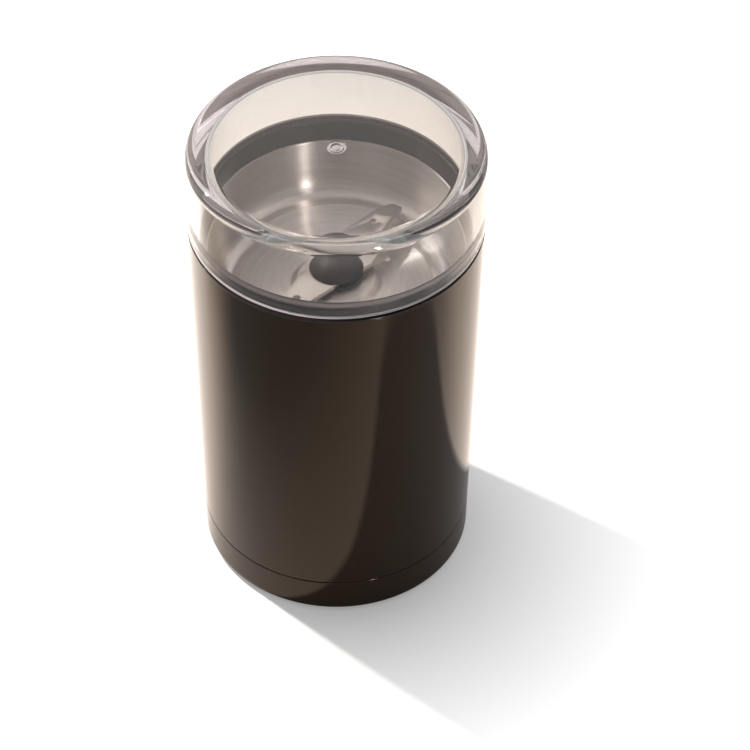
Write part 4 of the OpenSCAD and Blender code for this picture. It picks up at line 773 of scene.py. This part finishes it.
# %% Lid
LID_INSIDE_Z, TAB_Z, TAB_IN_R, TAB_OUT_R, TAB_SWEEP = LID_TOP_Z - 4, 124.4, 40.2, 42.2, 16.8
mark_outline = [
    (0, LID_TOP_Z - 0.25), (0.9, LID_TOP_Z - 0.25, 0.2), (1.1, LID_TOP_Z - 0.5, 0.1),
    (1.5, LID_TOP_Z - 0.5, 0.1), (1.8, LID_TOP_Z, 0.1), (2.1, LID_TOP_Z, 0.1),
    (2.3, LID_TOP_Z - 0.4, 0.1), (2.7, LID_TOP_Z - 0.4, 0.1), (2.9, LID_TOP_Z, 0.1)]
lid = turned("lid_skin", rounded([(0, LID_INSIDE_Z), *mark_outline, (44.8, LID_TOP_Z, 3.0),
                                  (45.0, LID_Z, 0.4), (SHELF_R, LID_Z, 0.3), (SHELF_R, SHELF_Z, 0.4),
                                  (39.7, SHELF_Z, 0.5), (38.92, LID_INSIDE_Z, 2.0)], 10))
for side in (0, 180):
    tab = turned("tab", [(TAB_IN_R, TAB_Z), (TAB_OUT_R, TAB_Z), (TAB_OUT_R, SHELF_Z + 0.2),
                         (TAB_IN_R, SHELF_Z + 0.2)], 24, TAB_SWEEP, side)
    shaped(lid, tab, "UNION")
hand_over(lid, "lid", "clear_plastic", "lid")
lid.visible_shadow = False

# %% [markdown]
# ## Hub
# The hub is a dark plastic cap with a low dome, screwed down on the blade, over a carrier of the
# same width. Small roundings where cap, blade and carrier meet leave the fine bright line that
# parts them.

# %% Hub cap and carrier
CARRIER_Z, BLADE_Z, BLADE_T, HUB_R, HUB_TOP_Z, DOME_RISE = 111.2, 112.7, 1.5, 8.1, 119.0, 4.3
BLADE_TOP_Z, CAP_T, CAP_BORE_R, CAP_EDGE = BLADE_Z + BLADE_T, 2.0, 4.7, 0.3
DOME_R = (HUB_R ** 2 + DOME_RISE ** 2) / (2 * DOME_RISE)
DOME_EDGE = math.degrees(math.asin(HUB_R / DOME_R))
hub = turned("hub_skin", [(0, HUB_TOP_Z - CAP_T), (CAP_BORE_R, HUB_TOP_Z - CAP_T),
                          (CAP_BORE_R, BLADE_TOP_Z)]
             + arc((HUB_R - CAP_EDGE, BLADE_TOP_Z + CAP_EDGE), CAP_EDGE, -90, 0, 4)
             + arc((0, HUB_TOP_Z - DOME_R), DOME_R, 90 - DOME_EDGE, 90, 28))
hand_over(hub, "rotor", "hub_plastic", "hub_cap")
carrier = turned("carrier_skin", rounded([
    (3.1, CARRIER_Z), (HUB_R, CARRIER_Z, 0.4), (HUB_R, BLADE_Z, 0.25), (2.6, BLADE_Z),
    (2.6, CARRIER_Z + 1), (3.1, CARRIER_Z + 1)]), 128)
hand_over(carrier, "rotor", "hub_plastic", "blade_carrier")

# %% [markdown]
# ## Blade, drawn flat
# The blade is stamped from flat steel: two tapering wings with a small hole in each. It is drawn
# flat with its holes and given its thickness. The second wing is the first, half a turn on.

# %% Blade, drawn flat
BLADE_R, WING_HOLE_PLACE, WING_HOLE_R, SHAFT_HOLE_R = 30.2, 18.3, 1.25, 2.6


def circle(x, radius, sides):
    return arc((x, 0), radius, 0, 360 - 360 / sides, sides - 1)


def blade_outline():
    wing = ([(HUB_R, -6.8), (20.0, -3.7)] + arc((BLADE_R - 0.5, -1.7), 0.5, -90, 0, 4)
            + arc((BLADE_R - 1.4, 0.8), 1.4, 0, 90, 6) + [(HUB_R, 4.8), (4.0, 4.8)])
    return wing + [(-x, -y) for x, y in wing]


def flat_blade():
    bm = bmesh.new()
    edges = []
    for loop in (blade_outline(), circle(0, SHAFT_HOLE_R, 16), circle(WING_HOLE_PLACE, WING_HOLE_R, 32),
                 circle(-WING_HOLE_PLACE, WING_HOLE_R, 32)):
        verts = [bm.verts.new((x / 1000, y / 1000, 0)) for x, y in loop]
        edges += [bm.edges.new((a, b)) for a, b in zip(verts, verts[1:] + verts[:1])]
    bmesh.ops.triangle_fill(bm, use_beauty=True, edges=edges)
    top = bmesh.ops.extrude_face_region(bm, geom=bm.faces[:])["geom"]
    bmesh.ops.translate(bm, vec=(0, 0, BLADE_T / 1000),
                        verts=[v for v in top if isinstance(v, bmesh.types.BMVert)])
    bmesh.ops.recalc_face_normals(bm, faces=bm.faces)
    return bm


plate = flat_blade()
print("faces of the flat blade:", len(plate.faces))

# %% [markdown]
# ## Blade, bent and worn
# The wings' ends turn down a little, along lines that are askew. The plate is cut into strips where
# it bends, and then rolled down along the bend, as a press brake would do it. Use has taken the
# sharpness off its edges.

# %% Blade, bent and worn
BEND_PLACE, BEND_ANGLE, BEND_ROUND, BEND_STRIPS = 22.5, math.radians(12.0), 4.0, 8
BEND_SKEW, EDGE_WEAR, WORN_ABOVE = math.radians(20.0), 0.12, math.radians(50)


def bent(point, side):
    """Rolls a point down along the bend of one wing. The top face keeps its length."""
    frame_of_bend = (Matrix.Rotation(math.pi if side < 0 else 0, 4, "Z")
                     @ Matrix.Translation((BEND_PLACE, 0, 0)) @ Matrix.Rotation(BEND_SKEW, 4, "Z"))
    p = frame_of_bend.inverted() @ point
    start = -BEND_ROUND * BEND_ANGLE / 2
    if p.x <= start:
        return point
    angle = min((p.x - start) / BEND_ROUND, BEND_ANGLE)
    past = max(p.x - start - BEND_ROUND * BEND_ANGLE, 0)
    inner = BEND_ROUND - (BLADE_T - p.z)
    x = start + inner * math.sin(angle) + past * math.cos(angle)
    z = BLADE_T - BEND_ROUND + inner * math.cos(angle) - past * math.sin(angle)
    return frame_of_bend @ Vector((x, p.y, z))


across_bend = Vector((math.cos(BEND_SKEW), math.sin(BEND_SKEW), 0))
for side in (1, -1):
    for k in range(BEND_STRIPS + 1):
        off = (k / BEND_STRIPS - 0.5) * BEND_ROUND * BEND_ANGLE
        co = side * (Vector((BEND_PLACE, 0, 0)) + off * across_bend)
        bmesh.ops.bisect_plane(plate, geom=plate.verts[:] + plate.edges[:] + plate.faces[:],
                               plane_co=co / 1000, plane_no=across_bend)
for vert in plate.verts:
    spot = vert.co * 1000
    if abs(spot.x) > HUB_R + 0.1:
        vert.co = bent(spot, 1 if spot.x > 0 else -1) / 1000
blade = new_piece("blade_skin", plate, 25)
bevel = blade.modifiers.new("worn edges", "BEVEL")
bevel.width, bevel.segments = EDGE_WEAR / 1000, 2
bevel.limit_method, bevel.angle_limit = "ANGLE", WORN_ABOVE
settled(blade)
moved(blade, Matrix.Rotation(BLADE_TURN, 4, "Z"), BLADE_Z)
hand_over(blade, "rotor", "blade_steel", "blade")

# %% [markdown]
# ## Floor
# The grinder stands on a plain white floor. The floor answers each kind of light ray in its own way,
# which a studio does with cards and reflectors:
#
# - seen directly, it glows more the further out it lies, so that the shadow melts into the white
# - seen through the lid, it is darker, because the clear shader alone lets too much of it through
# - mirrored, as in the dark lacquer, it has a warm glow beside and behind the grinder, up to the
#   edge of the shadow, which gives the pale flanks and the curved line on the front
#
# From here on, the stage round the grinder is measured in metres.

# %% Floor
FLOOR_HALF, FLOOR_TONE, THROUGH_TONE = 12.0, (0.775, 0.80, 0.83), (0.30, 0.37, 0.42)
GLOW_NEAR, GLOW_FAR, GLOW_THROUGH, GLOW_FROM, GLOW_TO = 0.28, 0.80, 0.03, 0.045, 0.12
WARM, WARM_STRENGTH, WARM_FRONT, WARM_FULL = (1.0, 0.74, 0.52, 1), 0.6, -0.04, 0.02
SHADOW_EDGE_WAY, SHADOW_EDGE, WARM_END = (0.532, 0.847, 0.0), (0.044, 0.047), (0.20, 0.32)


def floor_finish():
    finish, tree, where = new_finish("floor")
    away = add(tree, "ShaderNodeVectorMath", {0: where}, operation="LENGTH").outputs["Value"]
    path = add(tree, "ShaderNodeLightPath").outputs
    side, depth = split(tree, where)[:2]
    glow = span(tree, away, GLOW_NEAR, GLOW_FAR, GLOW_FROM, GLOW_TO)
    seen = maths(tree, "ADD", path["Is Camera Ray"],
                 maths(tree, "MULTIPLY", path["Is Transmission Ray"], GLOW_THROUGH))
    plain = shader(tree, colour=tones(tree, path["Is Transmission Ray"], FLOOR_TONE, THROUGH_TONE),
                   rough=0.9, specular=0.0)
    white = add(tree, "ShaderNodeEmission",
                {"Color": (1, 1, 1, 1), "Strength": maths(tree, "MULTIPLY", glow, seen)}).outputs[0]
    warm = span(tree, depth, 0.0, 1.0, WARM_FRONT, WARM_FULL, interpolation_type="SMOOTHSTEP")
    past_shadow = add(tree, "ShaderNodeVectorMath", {0: where, 1: SHADOW_EDGE_WAY},
                      operation="DOT_PRODUCT").outputs["Value"]
    lit = maths(tree, "MAXIMUM", span(tree, past_shadow, 0.0, 1.0, *SHADOW_EDGE),
                maths(tree, "LESS_THAN", side, 0.0))
    near = span(tree, away, 1.0, 0.0, *WARM_END)
    for share in (WARM_STRENGTH, lit, near, path["Is Glossy Ray"]):
        warm = maths(tree, "MULTIPLY", warm, share)
    mirrored = add(tree, "ShaderNodeEmission", {"Color": WARM, "Strength": warm}).outputs[0]
    both = add(tree, "ShaderNodeAddShader", {0: white, 1: mirrored}).outputs[0]
    put_on(tree, add(tree, "ShaderNodeAddShader", {0: plain, 1: both}).outputs[0])
    return finish


bm = bmesh.new()
bmesh.ops.create_grid(bm, x_segments=8, y_segments=8, size=FLOOR_HALF)
floor = new_piece("floor", bm)
floor.data.materials.append(floor_finish())
print("floor:", round(floor.dimensions.x, 1), "m wide")

# %% [markdown]
# ## Sky
# The sky gives most of the light. It has one warm white, is brighter behind the grinder than in
# front of it, and is plain white where it is seen directly.

# %% Sky
SKY_BACK, SKY_FRONT, SKY_TONE, WHITE_SKY = 0.78, 0.22, (1.0, 0.955, 0.925, 1), 1.1
world = bpy.data.worlds.new("even light")
bpy.context.scene.world = world
world.use_nodes = True
sky = world.node_tree
towards_back = split(sky, add(sky, "ShaderNodeTexCoord").outputs["Generated"])[1]
strength = span(sky, towards_back, SKY_FRONT, SKY_BACK, -0.5, 0.7, interpolation_type="SMOOTHSTEP")
camera_ray = add(sky, "ShaderNodeLightPath").outputs["Is Camera Ray"]
seen_directly = maths(sky, "MULTIPLY", camera_ray, WHITE_SKY)
background = sky.nodes["Background"].inputs
background["Color"].default_value = SKY_TONE
sky.links.new(maths(sky, "MAXIMUM", strength, seen_directly), background["Strength"])
print("sky nodes:", len(sky.nodes))

# %% [markdown]
# ## Lamps
# A small hard lamp behind on the left throws the crisp shadow to the front right. The other lamps
# show only in polished surfaces: one in the hard lamp's place makes the highlight on the bowl's
# right, an upright strip in front makes the streak on its far wall, and a broad one overhead draws
# the line round its floor. None is shown to light that passes through the lid: the lid throws no
# shadow, so their light reaches the bowl anyway and would count twice.

# %% Lamps
def lamp(name, place, aim_z, size, power, colour, hidden_from):
    data = bpy.data.lights.new(name, "AREA")
    data.shape, data.size, data.size_y = "RECTANGLE", size[0], size[1]
    data.energy, data.color = power, colour
    light = bpy.data.objects.new(name, data)
    light.location = place
    aim = Vector((0, 0, aim_z)) - light.location
    light.rotation_euler = aim.to_track_quat("-Z", "Y").to_euler()
    for kind in hidden_from:
        setattr(light, "visible_" + kind, False)
    bpy.context.scene.collection.objects.link(light)


HARD_PLACE = (-0.414, 0.311, 0.636)
MIRRORED_ONLY = ("diffuse", "transmission")
lamp("hard lamp", HARD_PLACE, 0.07, (0.038, 0.076), 8.4, (1.0, 0.90, 0.82), ("glossy", "transmission"))
lamp("sparkle lamp", HARD_PLACE, 0.11, (0.03, 0.03), 1.2, (1.0, 0.96, 0.94), MIRRORED_ONLY)
lamp("strip lamp", (0.33, -0.62, 0.40), 0.12, (0.04, 0.34), 1.3, (1.0, 0.96, 0.94), MIRRORED_ONLY)
lamp("overhead lamp", (0, 0.06, 0.95), 0.11, (1.0, 0.18), 1.6, (1.0, 0.97, 0.94), MIRRORED_ONLY)
print("lamps:", len(bpy.data.lights))

# %% [markdown]
# ## Flag
# A flag is a card that a studio puts in a lamp's way. This one keeps the hard lamp off the floor at
# the far left. Only its shadow shows.

# %% Flag
FLAG_EDGE, FLAG_WAY = Vector((-0.31, 0.2, 0)), Vector((-0.744, -0.668, 0))
FLAG_WIDE, FLAG_LOW, FLAG_TOP = 0.19, 0.1, 0.64
corners = [FLAG_EDGE + FLAG_WAY * far + Vector((0, 0, up))
           for far, up in ((0, FLAG_LOW), (FLAG_WIDE, FLAG_LOW), (FLAG_WIDE, FLAG_TOP), (0, FLAG_TOP))]
bm = bmesh.new()
bm.faces.new([bm.verts.new(corner) for corner in corners])
flag = new_piece("flag", bm)
flag.data.materials.append(FINISHES["black_plastic"])
flag.visible_camera = flag.visible_glossy = flag.visible_diffuse = flag.visible_transmission = False
print("flag corners in m:", [[round(c, 3) for c in corner] for corner in corners])

# %% [markdown]
# ## Camera
# The camera stands in front and looks down at the lid at about 45 degrees, with a long lens, so
# that the upright sides hardly lean. The colours are shown as they are, with no film look.

# %% Camera
SENSOR_MM, LENS_MM, SHIFT_RIGHT = 36.0, 153.83, 0.0515
CAMERA_PLACE, CAMERA_TILT = (0.0, -0.71914, 0.773162), math.radians(45.398)
camera_data = bpy.data.cameras.new("camera")
camera_data.sensor_width, camera_data.lens, camera_data.shift_x = SENSOR_MM, LENS_MM, SHIFT_RIGHT
camera = bpy.data.objects.new("camera", camera_data)
camera.location = CAMERA_PLACE
camera.rotation_euler = (CAMERA_TILT, 0.0, 0.0)
bpy.context.scene.collection.objects.link(camera)
bpy.context.scene.camera = camera
bpy.context.scene.view_settings.view_transform = "Standard"
print("camera distance from the lid in m:", round((camera.location - Vector((0, 0, 0.15))).length, 3))
